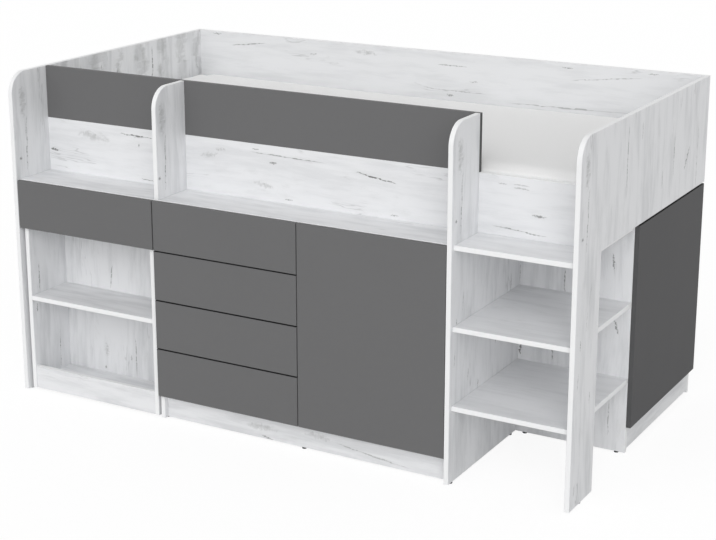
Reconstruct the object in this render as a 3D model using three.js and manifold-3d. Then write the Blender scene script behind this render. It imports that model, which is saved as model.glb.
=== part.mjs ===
// Mid-sleeper bunk bed with a pull-out desk, drawers, a cupboard, steps and an end cupboard.
// Millimetres, +Z up. X runs along the bed, -Y is the front and Z = 0 is the floor.

import Module from 'manifold-3d';
import * as THREE from 'three';
import { mergeVertices } from 'three/addons/utils/BufferGeometryUtils.js';

// Mattress and the play around it
const MATTRESS_LENGTH = 2000;
const MATTRESS_WIDTH = 900;
const MATTRESS_THICKNESS = 120;
const MATTRESS_END_PLAY = 4;
const MATTRESS_SIDE_PLAY = 1;
const MATTRESS_PROUD = 19;
const MATTRESS_CROWN = 5;
const MATTRESS_DRAW_IN = 4;
const MATTRESS_EDGE_RADIUS = 16;
const MATTRESS_CORNER_RADIUS = 45;

// Boards and the eased edge of their banding
const BOARD = 16;
const BACK_BOARD = 3;
const EASE = 1;
const SEAT_GAP = 0.25;
const CORNER_RADIUS = 70;

// Heights
const GLIDE_HEIGHT = 5;
const PLINTH_HEIGHT = 82;
const LEDGE_HEIGHT = 755;
const RAIL_HEIGHT = 184;
const GUARD_HEIGHT = 178;
const STEP_RISE = 250;

// Depths from the front of the bed
const LEDGE_DEPTH = 176;
const CARCASS_DEPTH = 494;
const PLINTH_RECESS = 32;

// Bays along the bed, from the left
const DESK_BAY = 558.5;
const CUPBOARD_BAY = 506.5;
const STEP_BAY = 376;

// Fronts
const FRONT_GAP = 3;
const FRONT_DROP = 2;
const FRONT_END_PLAY = 2;
const FASCIA_PLAY = 2.5;
const END_DOOR_RAISE = 4;
const END_DOOR_DROP = 1.5;
const END_DOOR_SETBACK = 1.5;
const END_PANEL_GAP = 4;
const END_PLINTH_LIFT = 10;

// Drawers
const DRAWER_COUNT = 4;
const DRAWER_WALL = 14;
const DRAWER_FLOOR = 5;
const DRAWER_BOX_LIFT = 20;
const DRAWER_BOX_DROP = 24.25;
const DRAWER_SIDE_PLAY = 2;
const DRAWER_REAR_ROOM = 25;
const STRIP_HEIGHT = 17;
const STRIP_PROUD = 8.5;
const STRIP_HOUSING = 1;
const STRIP_RISE = 50;
const STRIP_SETBACK = 4;
const GROOVE_DEPTH = 7;
const GROOVE_PLAY = 0.75;

// Shelves
const CUPBOARD_SHELF_HEIGHT = 415;
const SHELF_SETBACK = 24;
const END_SHELF_COUNT = 2;

// Desk on castors
const DESK_SIDE_PLAY = 9.25;
const DESK_REAR_PLAY = 14;
const DESK_TOP_PLAY = 9;
const DESK_FOOT = 9;
const PEDESTAL_DEPTH = 201;
const DESK_SHELF_HEIGHT = 345;
const DESK_FLOOR_HEIGHT = 38;
const DESK_PLINTH_TOP = 89;
const DESK_PLINTH_RECESS = 3;
const STRETCHER_HEIGHT = 100;

// Castors
const WHEEL_RADIUS = 22;
const WHEEL_WIDTH = 18;
const TREAD_ROUND = 4;
const HUB_RADIUS = 12;
const HUB_DISH = 3;
const AXLE_RADIUS = 4;
const WHEEL_PLAY = 0.25;
const CHEEK = 2.5;
const CHEEK_PLAY = 1;
const BOSS_RADIUS = 9;
const PLATE_WIDTH = 40;
const PLATE_HEIGHT = 52;
const WHEEL_STANDOFF = 5;
const CASTOR_INSET = 34;

// Slatted base
const SLAT_COUNT = 14;
const SLAT_WIDTH = 70;
const SLAT_THICKNESS = 18;
const SLAT_HOUSING = 1;
const BATTEN_HEIGHT = 40;
const BATTEN_WIDTH = 22;
const BATTEN_END_PLAY = 1;

// Concealed hinges
const HINGE_INSET = 100;
const CUP_RADIUS = 17.5;
const CUP_DEPTH = 11.5;
const CUP_INSET = 22;
const ARM_WIDTH = 12;
const ARM_THICKNESS = 8;
const ARM_REACH = 70;
const ARM_TONGUE = 15;
const ARM_DOOR_GAP = 3;
const WING_HEIGHT = 50;
const WING_THICKNESS = 2;
const WING_DEPTH = 28;

// Glides
const GLIDE_RADIUS = 7.5;
const GLIDE_INSET = 30;

// Facets of round work
const CORNER_STEPS = 8;
const ROUND_STEPS = 24;
const GLIDE_STEPS = 12;
const EDGE_STEPS = 4;
const TREAD_STEPS = 3;
const WELD = 1e-4;

// Planes across the length
const INNER_LENGTH = MATTRESS_LENGTH + 2 * MATTRESS_END_PLAY;
const RIGHT_INNER = INNER_LENGTH / 2;
const LEFT_INNER = -RIGHT_INNER;
const RIGHT_OUTER = RIGHT_INNER + BOARD;
const LEFT_OUTER = -RIGHT_OUTER;
const BAY_PANEL_LEFT = LEFT_INNER + DESK_BAY;
const BAY_PANEL_RIGHT = BAY_PANEL_LEFT + BOARD;
const STEP_PANEL_RIGHT = RIGHT_INNER - STEP_BAY;
const STEP_PANEL_LEFT = STEP_PANEL_RIGHT - BOARD;
const DIVIDER_RIGHT = STEP_PANEL_LEFT - CUPBOARD_BAY;
const DIVIDER_LEFT = DIVIDER_RIGHT - BOARD;
const DIVIDER_MIDDLE = (DIVIDER_LEFT + DIVIDER_RIGHT) / 2;
const END_CARCASS_FACE = RIGHT_INNER - SEAT_GAP;

// Planes across the width
const INNER_WIDTH = MATTRESS_WIDTH + 2 * MATTRESS_SIDE_PLAY;
const DEPTH = LEDGE_DEPTH + 2 * BOARD + INNER_WIDTH;
const FRONT = -DEPTH / 2;
const BACK = DEPTH / 2;
const FRONTS_BACK = FRONT + BOARD;
const CARCASS_FRONT = FRONTS_BACK + SEAT_GAP;
const RAIL_FRONT = FRONT + LEDGE_DEPTH;
const RAIL_BACK = RAIL_FRONT + BOARD;
const CARCASS_BACK = FRONT + CARCASS_DEPTH;
const CABINET_BACK = CARCASS_BACK - BACK_BOARD;
const END_WALL_BACK = CARCASS_BACK + BOARD;
const REAR_BOARD_FRONT = BACK - BOARD;
const PLINTH_FRONT = FRONT + PLINTH_RECESS;
const PLINTH_BACK = PLINTH_FRONT + BOARD;

// Levels
const FOOT = GLIDE_HEIGHT;
const FRONT_BOTTOM = FOOT + PLINTH_HEIGHT;
const FLOOR_TOP = FRONT_BOTTOM + BOARD;
const LEDGE_UNDER = LEDGE_HEIGHT - BOARD;
const FRONT_TOP = LEDGE_HEIGHT - FRONT_DROP;
const RAIL_TOP = LEDGE_HEIGHT + RAIL_HEIGHT;
const TOP = RAIL_TOP + GUARD_HEIGHT;
const MATTRESS_TOP = RAIL_TOP + MATTRESS_PROUD;
const MATTRESS_BOTTOM = MATTRESS_TOP - MATTRESS_THICKNESS;
const SLAT_TOP = MATTRESS_BOTTOM - SEAT_GAP;
const SLAT_UNDER = SLAT_TOP - SLAT_THICKNESS;
const BATTEN_TOP = SLAT_UNDER + SLAT_HOUSING;
const BATTEN_UNDER = BATTEN_TOP - BATTEN_HEIGHT;

// Fronts and the boxes behind them
const FRONT_HEIGHT = (FRONT_TOP - FRONT_BOTTOM - (DRAWER_COUNT - 1) * FRONT_GAP) / DRAWER_COUNT;
const DRAWER_LEFT = BAY_PANEL_RIGHT + DRAWER_SIDE_PLAY;
const DRAWER_RIGHT = DIVIDER_LEFT - DRAWER_SIDE_PLAY;
const DRAWER_BACK = CABINET_BACK - DRAWER_REAR_ROOM;
const STRIP_FRONT = CARCASS_FRONT + STRIP_SETBACK;

// Planes of the desk
const DESK_LEFT = LEFT_INNER + DESK_SIDE_PLAY;
const DESK_RIGHT = BAY_PANEL_LEFT - DESK_SIDE_PLAY;
const DESK_INNER_LEFT = DESK_LEFT + BOARD;
const DESK_INNER_RIGHT = DESK_RIGHT - BOARD;
const DESK_TOP = LEDGE_UNDER - DESK_TOP_PLAY;
const DESK_UNDER = DESK_TOP - BOARD;
const DESK_BACK = REAR_BOARD_FRONT - DESK_REAR_PLAY;
const PEDESTAL_BACK = FRONT + PEDESTAL_DEPTH;
const PEDESTAL_REAR = PEDESTAL_BACK + BOARD;
const DESK_LEG_FRONT = DESK_BACK - BOARD;

// Finishes
const craftWhite = finish(0xdedcd6, 0.55);
const graphite = finish(0x6b6b6d, 0.6);
const paleBacking = finish(0xe6e6e2, 0.7);
const pine = finish(0xd8b483, 0.7);
const fabric = finish(0xeeedea, 0.95);
const blackPlastic = finish(0x1c1c1e, 0.45);
const nickel = finish(0xb9bbbe, 0.3, 1);

function finish(color, roughness, metalness = 0) {
  return () => new THREE.MeshStandardMaterial({ color, roughness, metalness });
}

const wasm = await Module();
wasm.setup();

function toSolid(geometry) {
  const bare = geometry.clone();
  bare.deleteAttribute('normal');
  bare.deleteAttribute('uv');
  const welded = mergeVertices(bare, WELD);
  return new wasm.Manifold(new wasm.Mesh({
    numProp: 3,
    vertProperties: new Float32Array(welded.attributes.position.array),
    triVerts: new Uint32Array(welded.index.array),
  }));
}

function toGeometry(solid) {
  const { vertProperties, triVerts } = solid.getMesh();
  const geometry = new THREE.BufferGeometry();
  geometry.setAttribute('position', new THREE.BufferAttribute(vertProperties, 3));
  geometry.setIndex(new THREE.BufferAttribute(triVerts, 1));
  geometry.computeVertexNormals();
  return geometry;
}

function joined(base, ...additions) {
  return toGeometry(additions.reduce((solid, piece) => solid.add(toSolid(piece)), toSolid(base)));
}

function drilled(base, ...tools) {
  return toGeometry(tools.reduce((solid, tool) => solid.subtract(toSolid(tool)), toSolid(base)));
}

function piece(name, finishOf, geometry, place = [0, 0, 0]) {
  const mesh = new THREE.Mesh(geometry, finishOf());
  mesh.name = name;
  mesh.position.set(...place);
  return mesh;
}

function group(...members) {
  const whole = new THREE.Group();
  whole.add(...members);
  return whole;
}

// Turns geometry drawn along local X, Y and Z onto three world directions
function turned(geometry, alongX, alongY, alongZ) {
  const axes = [alongX, alongY, alongZ].map((axis) => new THREE.Vector3(...axis));
  return geometry.applyMatrix4(new THREE.Matrix4().makeBasis(...axes));
}

function block([x0, x1], [y0, y1], [z0, z1]) {
  const box = new THREE.BoxGeometry(x1 - x0, y1 - y0, z1 - z0);
  return box.translate((x0 + x1) / 2, (y0 + y1) / 2, (z0 + z1) / 2);
}

// A sheet of a given outline, with the arrises of both faces eased
function sheet(outline, thickness) {
  const extruded = new THREE.ExtrudeGeometry(outline, {
    depth: thickness - 2 * EASE,
    bevelEnabled: true,
    bevelThickness: EASE,
    bevelSize: EASE,
    bevelOffset: -EASE,
    bevelSegments: 1,
    curveSegments: CORNER_STEPS,
  });
  return extruded.translate(0, 0, EASE);
}

function rectangle([u0, u1], [v0, v1]) {
  const outline = new THREE.Shape();
  outline.moveTo(u0, v0);
  outline.lineTo(u1, v0);
  outline.lineTo(u1, v1);
  outline.lineTo(u0, v1);
  outline.closePath();
  return outline;
}

// Board standing across the bed, outlined in Y and Z
function uprightSheet([x0, x1], outline) {
  const across = turned(sheet(outline, x1 - x0), [0, 1, 0], [0, 0, 1], [1, 0, 0]);
  return across.translate(x0, 0, 0);
}

// Board whose face looks forward
function facingSheet(xSpan, [y0, y1], zSpan) {
  const facing = turned(sheet(rectangle(zSpan, xSpan), y1 - y0), [0, 0, 1], [1, 0, 0], [0, 1, 0]);
  return facing.translate(0, y0, 0);
}

function flatSheet(xSpan, ySpan, [z0, z1]) {
  return sheet(rectangle(xSpan, ySpan), z1 - z0).translate(0, 0, z0);
}

function sideSheet(xSpan, ySpan, zSpan) {
  return uprightSheet(xSpan, rectangle(ySpan, zSpan));
}

function peg(radius, length, steps = ROUND_STEPS) {
  return new THREE.CylinderGeometry(radius, radius, length, steps);
}

// Nail-on glides under a panel, driven one glide height into its bottom edge
function onGlides(geometry, spots) {
  const glides = spots.map(([x, y]) => {
    const glide = turned(peg(GLIDE_RADIUS, 2 * GLIDE_HEIGHT, GLIDE_STEPS), [1, 0, 0], [0, 0, 1], [0, -1, 0]);
    return glide.translate(x, y, GLIDE_HEIGHT);
  });
  return joined(geometry, ...glides);
}

function middle([low, high]) {
  return (low + high) / 2;
}

function glidesUnderUpright(xSpan, [y0, y1]) {
  return [[middle(xSpan), y0 + GLIDE_INSET], [middle(xSpan), y1 - GLIDE_INSET]];
}

function glidesUnderFacing([x0, x1], ySpan) {
  return [[x0 + GLIDE_INSET, middle(ySpan)], [x1 - GLIDE_INSET, middle(ySpan)]];
}

// Upper front corner rounded, walked from the front edge to the top edge
function roundFrontCorner(outline, front, top) {
  outline.lineTo(front, top - CORNER_RADIUS);
  outline.absarc(front + CORNER_RADIUS, top - CORNER_RADIUS, CORNER_RADIUS, Math.PI, Math.PI / 2, true);
}

function leftEndPanel() {
  const span = [LEFT_OUTER, LEFT_INNER];
  const outline = new THREE.Shape();
  outline.moveTo(BACK, TOP);
  outline.lineTo(BACK, FOOT);
  outline.lineTo(FRONT, FOOT);
  roundFrontCorner(outline, FRONT, TOP);
  const board = uprightSheet(span, outline);
  return piece('left_end_panel', craftWhite, onGlides(board, glidesUnderUpright(span, [FRONT, BACK])));
}

// Upside-down L: a leg beside the steps and a high end board over the end cupboard's door
function rightEndPanel() {
  const span = [RIGHT_INNER, RIGHT_OUTER];
  const outline = new THREE.Shape();
  outline.moveTo(BACK, TOP);
  outline.lineTo(BACK, FRONT_TOP + END_PANEL_GAP);
  outline.lineTo(RAIL_FRONT, FRONT_TOP + END_PANEL_GAP);
  outline.lineTo(RAIL_FRONT, FOOT);
  outline.lineTo(FRONT, FOOT);
  roundFrontCorner(outline, FRONT, TOP);
  const board = uprightSheet(span, outline);
  const glideSpot = [middle(span), middle([FRONT, RAIL_FRONT])];
  return piece('right_end_panel', craftWhite, onGlides(board, [glideSpot]));
}

// Panel beside the steps: full height in front of the rail, ledge height behind it
function stepPanel() {
  const span = [STEP_PANEL_LEFT, STEP_PANEL_RIGHT];
  const outline = new THREE.Shape();
  outline.moveTo(RAIL_FRONT, TOP);
  outline.lineTo(RAIL_FRONT, LEDGE_HEIGHT);
  outline.lineTo(CARCASS_BACK, LEDGE_HEIGHT);
  outline.lineTo(CARCASS_BACK, FOOT);
  outline.lineTo(FRONT, FOOT);
  roundFrontCorner(outline, FRONT, TOP);
  const board = uprightSheet(span, outline);
  return piece('step_panel', craftWhite, onGlides(board, glidesUnderUpright(span, [FRONT, CARCASS_BACK])));
}

// Upright on the ledge that holds the guard rail
function shortUpright() {
  const outline = new THREE.Shape();
  outline.moveTo(RAIL_FRONT, TOP);
  outline.lineTo(RAIL_FRONT, LEDGE_HEIGHT);
  outline.lineTo(CARCASS_FRONT, LEDGE_HEIGHT);
  roundFrontCorner(outline, CARCASS_FRONT, TOP);
  return piece('short_upright', craftWhite, uprightSheet([BAY_PANEL_LEFT, BAY_PANEL_RIGHT], outline));
}

// Runner strips housed into a panel beside the drawers
function runnerStrips(panelFace, side) {
  return drawerBottoms().map((bottom) => {
    const z0 = bottom + DRAWER_BOX_LIFT + STRIP_RISE;
    const ends = [panelFace - side * STRIP_HOUSING, panelFace + side * STRIP_PROUD];
    ends.sort((a, b) => a - b);
    return block(ends, [STRIP_FRONT, DRAWER_BACK - STRIP_SETBACK], [z0, z0 + STRIP_HEIGHT]);
  });
}

// Partition between the desk and the drawers; behind the ledge it rises to carry the back board
function deskBayPanel() {
  const span = [BAY_PANEL_LEFT, BAY_PANEL_RIGHT];
  const outline = new THREE.Shape();
  outline.moveTo(CARCASS_FRONT, FOOT);
  outline.lineTo(BACK, FOOT);
  outline.lineTo(BACK, LEDGE_HEIGHT);
  outline.lineTo(CARCASS_BACK, LEDGE_HEIGHT);
  outline.lineTo(CARCASS_BACK, LEDGE_UNDER);
  outline.lineTo(CARCASS_FRONT, LEDGE_UNDER);
  outline.closePath();
  const board = uprightSheet(span, outline);
  const fitted = joined(board, ...runnerStrips(BAY_PANEL_RIGHT, 1));
  return piece('desk_bay_panel', craftWhite, onGlides(fitted, glidesUnderUpright(span, [CARCASS_FRONT, BACK])));
}

// Divider between drawers and cupboard, notched at the foot for the plinth
function cupboardDivider() {
  const span = [DIVIDER_LEFT, DIVIDER_RIGHT];
  const outline = new THREE.Shape();
  outline.moveTo(PLINTH_BACK, FOOT);
  outline.lineTo(CABINET_BACK, FOOT);
  outline.lineTo(CABINET_BACK, LEDGE_UNDER);
  outline.lineTo(CARCASS_FRONT, LEDGE_UNDER);
  outline.lineTo(CARCASS_FRONT, FRONT_BOTTOM);
  outline.lineTo(PLINTH_BACK, FRONT_BOTTOM);
  outline.closePath();
  const board = uprightSheet(span, outline);
  const fitted = joined(board, ...runnerStrips(DIVIDER_LEFT, -1));
  const rearGlide = [[DIVIDER_MIDDLE, CABINET_BACK - GLIDE_INSET]];
  return piece('cupboard_divider', craftWhite, onGlides(fitted, rearGlide));
}

// Rails, back board, ledge and treads of the bed
function bedBoards() {
  const inner = [LEFT_INNER, RIGHT_INNER];
  const ledgeX = [LEFT_INNER, STEP_PANEL_LEFT];
  const guardX = [LEFT_INNER, STEP_PANEL_RIGHT];
  const railY = [RAIL_FRONT, RAIL_BACK];
  const rearY = [REAR_BOARD_FRONT, BACK];
  const ledgeY = [CARCASS_FRONT, CARCASS_BACK];
  return [
    piece('front_rail', craftWhite, facingSheet(inner, railY, [LEDGE_HEIGHT, RAIL_TOP])),
    piece('guard_rail', graphite, facingSheet(guardX, railY, [RAIL_TOP, TOP])),
    piece('back_board', craftWhite, facingSheet(inner, rearY, [LEDGE_HEIGHT, TOP])),
    piece('ledge_board', craftWhite, flatSheet(ledgeX, ledgeY, [LEDGE_UNDER, LEDGE_HEIGHT])),
  ];
}

function treads() {
  return ['tread_top', 'tread_middle', 'tread_low'].map((name, step) => {
    const z1 = LEDGE_HEIGHT - step * STEP_RISE;
    const board = flatSheet([STEP_PANEL_RIGHT, RIGHT_INNER], [FRONTS_BACK, CARCASS_BACK], [z1 - BOARD, z1]);
    return piece(name, craftWhite, board);
  });
}

// Floors, shelf, plinth and back of the cabinets under the ledge
function cabinetBoards() {
  const drawerX = [BAY_PANEL_RIGHT, DIVIDER_LEFT];
  const cupboardX = [DIVIDER_RIGHT, STEP_PANEL_LEFT];
  const cabinetX = [BAY_PANEL_RIGHT, STEP_PANEL_LEFT];
  const depthY = [CARCASS_FRONT, CABINET_BACK];
  const shelfY = [CARCASS_FRONT + SHELF_SETBACK, CABINET_BACK];
  const shelfZ = [CUPBOARD_SHELF_HEIGHT - BOARD, CUPBOARD_SHELF_HEIGHT];
  const floorZ = [FRONT_BOTTOM, FLOOR_TOP];
  const plinthY = [PLINTH_FRONT, PLINTH_BACK];
  const plinth = facingSheet(cabinetX, plinthY, [FOOT, FRONT_BOTTOM]);
  const backing = block(cabinetX, [CABINET_BACK, CARCASS_BACK], [FRONT_BOTTOM, LEDGE_UNDER]);
  return [
    piece('cabinet_plinth', craftWhite, onGlides(plinth, [[DIVIDER_MIDDLE, middle(plinthY)]])),
    piece('drawer_bay_floor', craftWhite, flatSheet(drawerX, depthY, floorZ)),
    piece('cupboard_floor', craftWhite, flatSheet(cupboardX, depthY, floorZ)),
    piece('cupboard_shelf', craftWhite, flatSheet(cupboardX, shelfY, shelfZ)),
    piece('cabinet_back', paleBacking, backing),
  ];
}

// Cupboard under the foot of the bed that opens on the right end
function endCupboard() {
  const insideX = [STEP_PANEL_RIGHT, END_CARCASS_FACE];
  const wallX = [STEP_PANEL_LEFT, STEP_PANEL_RIGHT];
  const rearX = [STEP_PANEL_LEFT, END_CARCASS_FACE];
  const insideY = [END_WALL_BACK, REAR_BOARD_FRONT];
  const wallY = [CARCASS_BACK, REAR_BOARD_FRONT];
  const frontY = [CARCASS_BACK, END_WALL_BACK];
  const rearY = [REAR_BOARD_FRONT, BACK];
  const fullZ = [FOOT, LEDGE_HEIGHT];
  const plinthX = [END_CARCASS_FACE - BOARD, END_CARCASS_FACE];
  const plinthZ = [FOOT + END_PLINTH_LIFT, FRONT_BOTTOM];
  const front = facingSheet(insideX, frontY, fullZ);
  const rear = facingSheet(rearX, rearY, fullZ);
  const wall = sideSheet(wallX, wallY, fullZ);
  const wallGlides = [[middle(wallX), middle(wallY)]];
  return [
    piece('end_cupboard_front', craftWhite, onGlides(front, glidesUnderFacing(insideX, frontY))),
    piece('end_cupboard_rear', craftWhite, onGlides(rear, glidesUnderFacing(rearX, rearY))),
    piece('end_cupboard_wall', craftWhite, onGlides(wall, wallGlides)),
    piece('end_cupboard_top', craftWhite, flatSheet(insideX, insideY, [LEDGE_UNDER, LEDGE_HEIGHT])),
    piece('end_cupboard_floor', craftWhite, flatSheet(insideX, insideY, [FRONT_BOTTOM, FLOOR_TOP])),
    piece('end_cupboard_plinth', craftWhite, sideSheet(plinthX, insideY, plinthZ)),
    ...endShelves(insideY),
  ];
}

function endShelves(insideY) {
  const shelfX = [STEP_PANEL_RIGHT, END_CARCASS_FACE - SHELF_SETBACK];
  const clearHeight = (LEDGE_UNDER - FLOOR_TOP - END_SHELF_COUNT * BOARD) / (END_SHELF_COUNT + 1);
  return Array.from({ length: END_SHELF_COUNT }, (_, shelf) => {
    const z0 = FLOOR_TOP + clearHeight + shelf * (clearHeight + BOARD);
    return piece(`end_cupboard_shelf_${shelf + 1}`, craftWhite, flatSheet(shelfX, insideY, [z0, z0 + BOARD]));
  });
}

// Two battens on the rail and the back board, with the slats let into them
function slattedBase() {
  const battenX = [LEFT_INNER + BATTEN_END_PLAY, RIGHT_INNER - BATTEN_END_PLAY];
  const battenZ = [BATTEN_UNDER, BATTEN_TOP];
  const frontBatten = block(battenX, [RAIL_BACK, RAIL_BACK + BATTEN_WIDTH], battenZ);
  const rearBatten = block(battenX, [REAR_BOARD_FRONT - BATTEN_WIDTH, REAR_BOARD_FRONT], battenZ);
  const slatY = [RAIL_BACK + MATTRESS_SIDE_PLAY, REAR_BOARD_FRONT - MATTRESS_SIDE_PLAY];
  const pitch = (battenX[1] - battenX[0]) / SLAT_COUNT;
  const slats = Array.from({ length: SLAT_COUNT }, (_, slat) => {
    const centre = battenX[0] + pitch * (slat + 0.5);
    return block([centre - SLAT_WIDTH / 2, centre + SLAT_WIDTH / 2], slatY, [SLAT_UNDER, SLAT_TOP]);
  });
  return piece('slatted_base', pine, joined(frontBatten, rearBatten, ...slats));
}

// One level of the mattress: a rectangle with round corners, drawn in by an inset
function mattressRing(inset, z) {
  const halfX = MATTRESS_LENGTH / 2 - inset;
  const halfY = MATTRESS_WIDTH / 2 - inset;
  const radius = Math.min(MATTRESS_CORNER_RADIUS, halfX, halfY);
  const corners = [[1, 1], [-1, 1], [-1, -1], [1, -1]];
  return corners.flatMap(([sx, sy], quarter) => Array.from({ length: CORNER_STEPS + 1 }, (_, step) => {
    const angle = (quarter + step / CORNER_STEPS) * Math.PI / 2;
    const x = sx * (halfX - radius) + radius * Math.cos(angle);
    const y = sy * (halfY - radius) + radius * Math.sin(angle);
    return [x, y, z];
  }));
}

// Skins a stack of rings and closes it at both ends
function loft(rings) {
  const count = rings[0].length;
  const points = rings.flat();
  const faces = [];
  for (let level = 0; level < rings.length - 1; level += 1) {
    for (let side = 0; side < count; side += 1) {
      const a = level * count + side;
      const b = level * count + (side + 1) % count;
      faces.push(a, b, b + count, a, b + count, a + count);
    }
  }
  const lowest = points.length;
  const highest = lowest + 1;
  points.push([0, 0, rings[0][0][2]], [0, 0, rings.at(-1)[0][2]]);
  const lastRing = (rings.length - 1) * count;
  for (let side = 0; side < count; side += 1) {
    const next = (side + 1) % count;
    faces.push(lowest, next, side);
    faces.push(highest, lastRing + side, lastRing + next);
  }
  const geometry = new THREE.BufferGeometry();
  geometry.setAttribute('position', new THREE.Float32BufferAttribute(points.flat(), 3));
  geometry.setIndex(faces);
  geometry.computeVertexNormals();
  return geometry;
}

// Foam mattress with a crowned top, round edges and sides drawn in at mid height
function mattress() {
  const edge = MATTRESS_EDGE_RADIUS;
  const sideHeight = MATTRESS_THICKNESS - MATTRESS_CROWN - 2 * edge;
  const shares = Array.from({ length: EDGE_STEPS + 1 }, (_, step) => step / EDGE_STEPS);
  const lower = shares.map((share) => {
    const angle = share * Math.PI / 2;
    return [edge * (1 - Math.sin(angle)), edge * (1 - Math.cos(angle))];
  });
  const flank = shares.slice(1, -1).map((share) => {
    return [MATTRESS_DRAW_IN * Math.sin(share * Math.PI), edge + share * sideHeight];
  });
  const upper = shares.map((share) => {
    const angle = share * Math.PI / 2;
    return [edge * (1 - Math.cos(angle)), edge + sideHeight + edge * Math.sin(angle)];
  });
  const crownReach = MATTRESS_WIDTH / 2 - 2 * edge;
  const crown = shares.slice(1).map((share) => {
    const rise = MATTRESS_CROWN * Math.sin(share * Math.PI / 2);
    return [edge + share * crownReach, MATTRESS_THICKNESS - MATTRESS_CROWN + rise];
  });
  const rings = [...lower, ...flank, ...upper, ...crown].map(([inset, z]) => mattressRing(inset, z));
  const centreY = (RAIL_BACK + REAR_BOARD_FRONT) / 2;
  return piece('mattress', fabric, loft(rings), [0, centreY, MATTRESS_BOTTOM]);
}

function drawerBottoms() {
  return Array.from({ length: DRAWER_COUNT }, (_, drawer) => {
    return FRONT_TOP - FRONT_HEIGHT - drawer * (FRONT_HEIGHT + FRONT_GAP);
  });
}

// Open tray whose side grooves ride on the runner strips
function drawerBox(bottom) {
  const z0 = bottom + DRAWER_BOX_LIFT;
  const z1 = bottom + FRONT_HEIGHT - DRAWER_BOX_DROP;
  const outer = block([DRAWER_LEFT, DRAWER_RIGHT], [FRONTS_BACK, DRAWER_BACK], [z0, z1]);
  const insideX = [DRAWER_LEFT + DRAWER_WALL, DRAWER_RIGHT - DRAWER_WALL];
  const inside = block(insideX, [FRONTS_BACK - BOARD, DRAWER_BACK - DRAWER_WALL], [z0 + DRAWER_FLOOR, z1 + BOARD]);
  const grooveY = [FRONTS_BACK - BOARD, DRAWER_BACK + BOARD];
  const grooveZ = [z0 + STRIP_RISE - GROOVE_PLAY, z0 + STRIP_RISE + STRIP_HEIGHT + SEAT_GAP];
  const leftGroove = block([DRAWER_LEFT - BOARD, DRAWER_LEFT + GROOVE_DEPTH], grooveY, grooveZ);
  const rightGroove = block([DRAWER_RIGHT - GROOVE_DEPTH, DRAWER_RIGHT + BOARD], grooveY, grooveZ);
  return drilled(outer, inside, leftGroove, rightGroove);
}

function drawer(bottom, index) {
  const frontX = [BAY_PANEL_LEFT + FRONT_GAP / 2, DIVIDER_MIDDLE - FRONT_GAP / 2];
  const front = facingSheet(frontX, [FRONT, FRONTS_BACK], [bottom, bottom + FRONT_HEIGHT]);
  return group(
    piece(`drawer_${index + 1}_front`, graphite, front),
    piece(`drawer_${index + 1}_box`, craftWhite, drawerBox(bottom)),
  );
}

// Arm drawn with X along the door from its hinged edge, Y back from the door's face, Z up
function hingeArm(panelOffset) {
  const back = BOARD + ARM_DOOR_GAP;
  const tip = BOARD - CUP_DEPTH + SEAT_GAP;
  const near = CUP_INSET + CUP_RADIUS - ARM_THICKNESS / 2 - ARM_TONGUE;
  const far = near + ARM_TONGUE;
  const profile = new THREE.Shape();
  profile.moveTo(panelOffset, back);
  profile.lineTo(near, back);
  profile.lineTo(near, tip);
  profile.lineTo(far, tip);
  profile.lineTo(far, back + ARM_THICKNESS);
  profile.lineTo(panelOffset + ARM_THICKNESS, back + ARM_THICKNESS);
  profile.lineTo(panelOffset + ARM_THICKNESS, back + ARM_REACH);
  profile.lineTo(panelOffset, back + ARM_REACH);
  profile.closePath();
  const arm = new THREE.ExtrudeGeometry(profile, { depth: ARM_WIDTH, bevelEnabled: false });
  arm.translate(0, 0, -ARM_WIDTH / 2);
  const wingX = [panelOffset, panelOffset + WING_THICKNESS];
  const wingY = [back + ARM_REACH - WING_DEPTH - ARM_THICKNESS, back + ARM_REACH - ARM_THICKNESS];
  const wing = block(wingX, wingY, [-WING_HEIGHT / 2, WING_HEIGHT / 2]);
  return joined(arm, wing);
}

function hingeHeights() {
  return { lower: FRONT_BOTTOM + HINGE_INSET, upper: FRONT_TOP - HINGE_INSET };
}

// Cupboard door, hung on the step panel and drilled for the hinge cups
function cupboardDoor() {
  const hingeEdge = STEP_PANEL_LEFT - FRONT_END_PLAY;
  const doorX = [DIVIDER_MIDDLE + FRONT_GAP / 2, hingeEdge];
  const board = facingSheet(doorX, [FRONT, FRONTS_BACK], [FRONT_BOTTOM, FRONT_TOP]);
  const bores = Object.values(hingeHeights()).map((z) => {
    return peg(CUP_RADIUS, 2 * CUP_DEPTH).translate(hingeEdge - CUP_INSET, FRONTS_BACK, z);
  });
  return piece('cupboard_door', graphite, drilled(board, ...bores));
}

function cupboardHinges() {
  const hingeEdge = STEP_PANEL_LEFT - FRONT_END_PLAY;
  return Object.entries(hingeHeights()).map(([level, z]) => {
    const arm = turned(hingeArm(-FRONT_END_PLAY), [-1, 0, 0], [0, 1, 0], [0, 0, -1]);
    return piece(`cupboard_hinge_${level}`, nickel, arm, [hingeEdge, FRONT, z]);
  });
}

// Door of the end cupboard, hung on the rear panel
function endDoor() {
  const hingeEdge = BACK - END_DOOR_SETBACK;
  const doorY = [CARCASS_BACK + END_DOOR_SETBACK, hingeEdge];
  const doorZ = [FRONT_BOTTOM + END_DOOR_RAISE, FRONT_TOP - END_DOOR_DROP];
  const board = sideSheet([RIGHT_INNER, RIGHT_OUTER], doorY, doorZ);
  const bores = Object.values(hingeHeights()).map((z) => {
    const bore = turned(peg(CUP_RADIUS, 2 * CUP_DEPTH), [0, 1, 0], [-1, 0, 0], [0, 0, 1]);
    return bore.translate(RIGHT_INNER, hingeEdge - CUP_INSET, z);
  });
  return piece('end_cupboard_door', graphite, drilled(board, ...bores));
}

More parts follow.
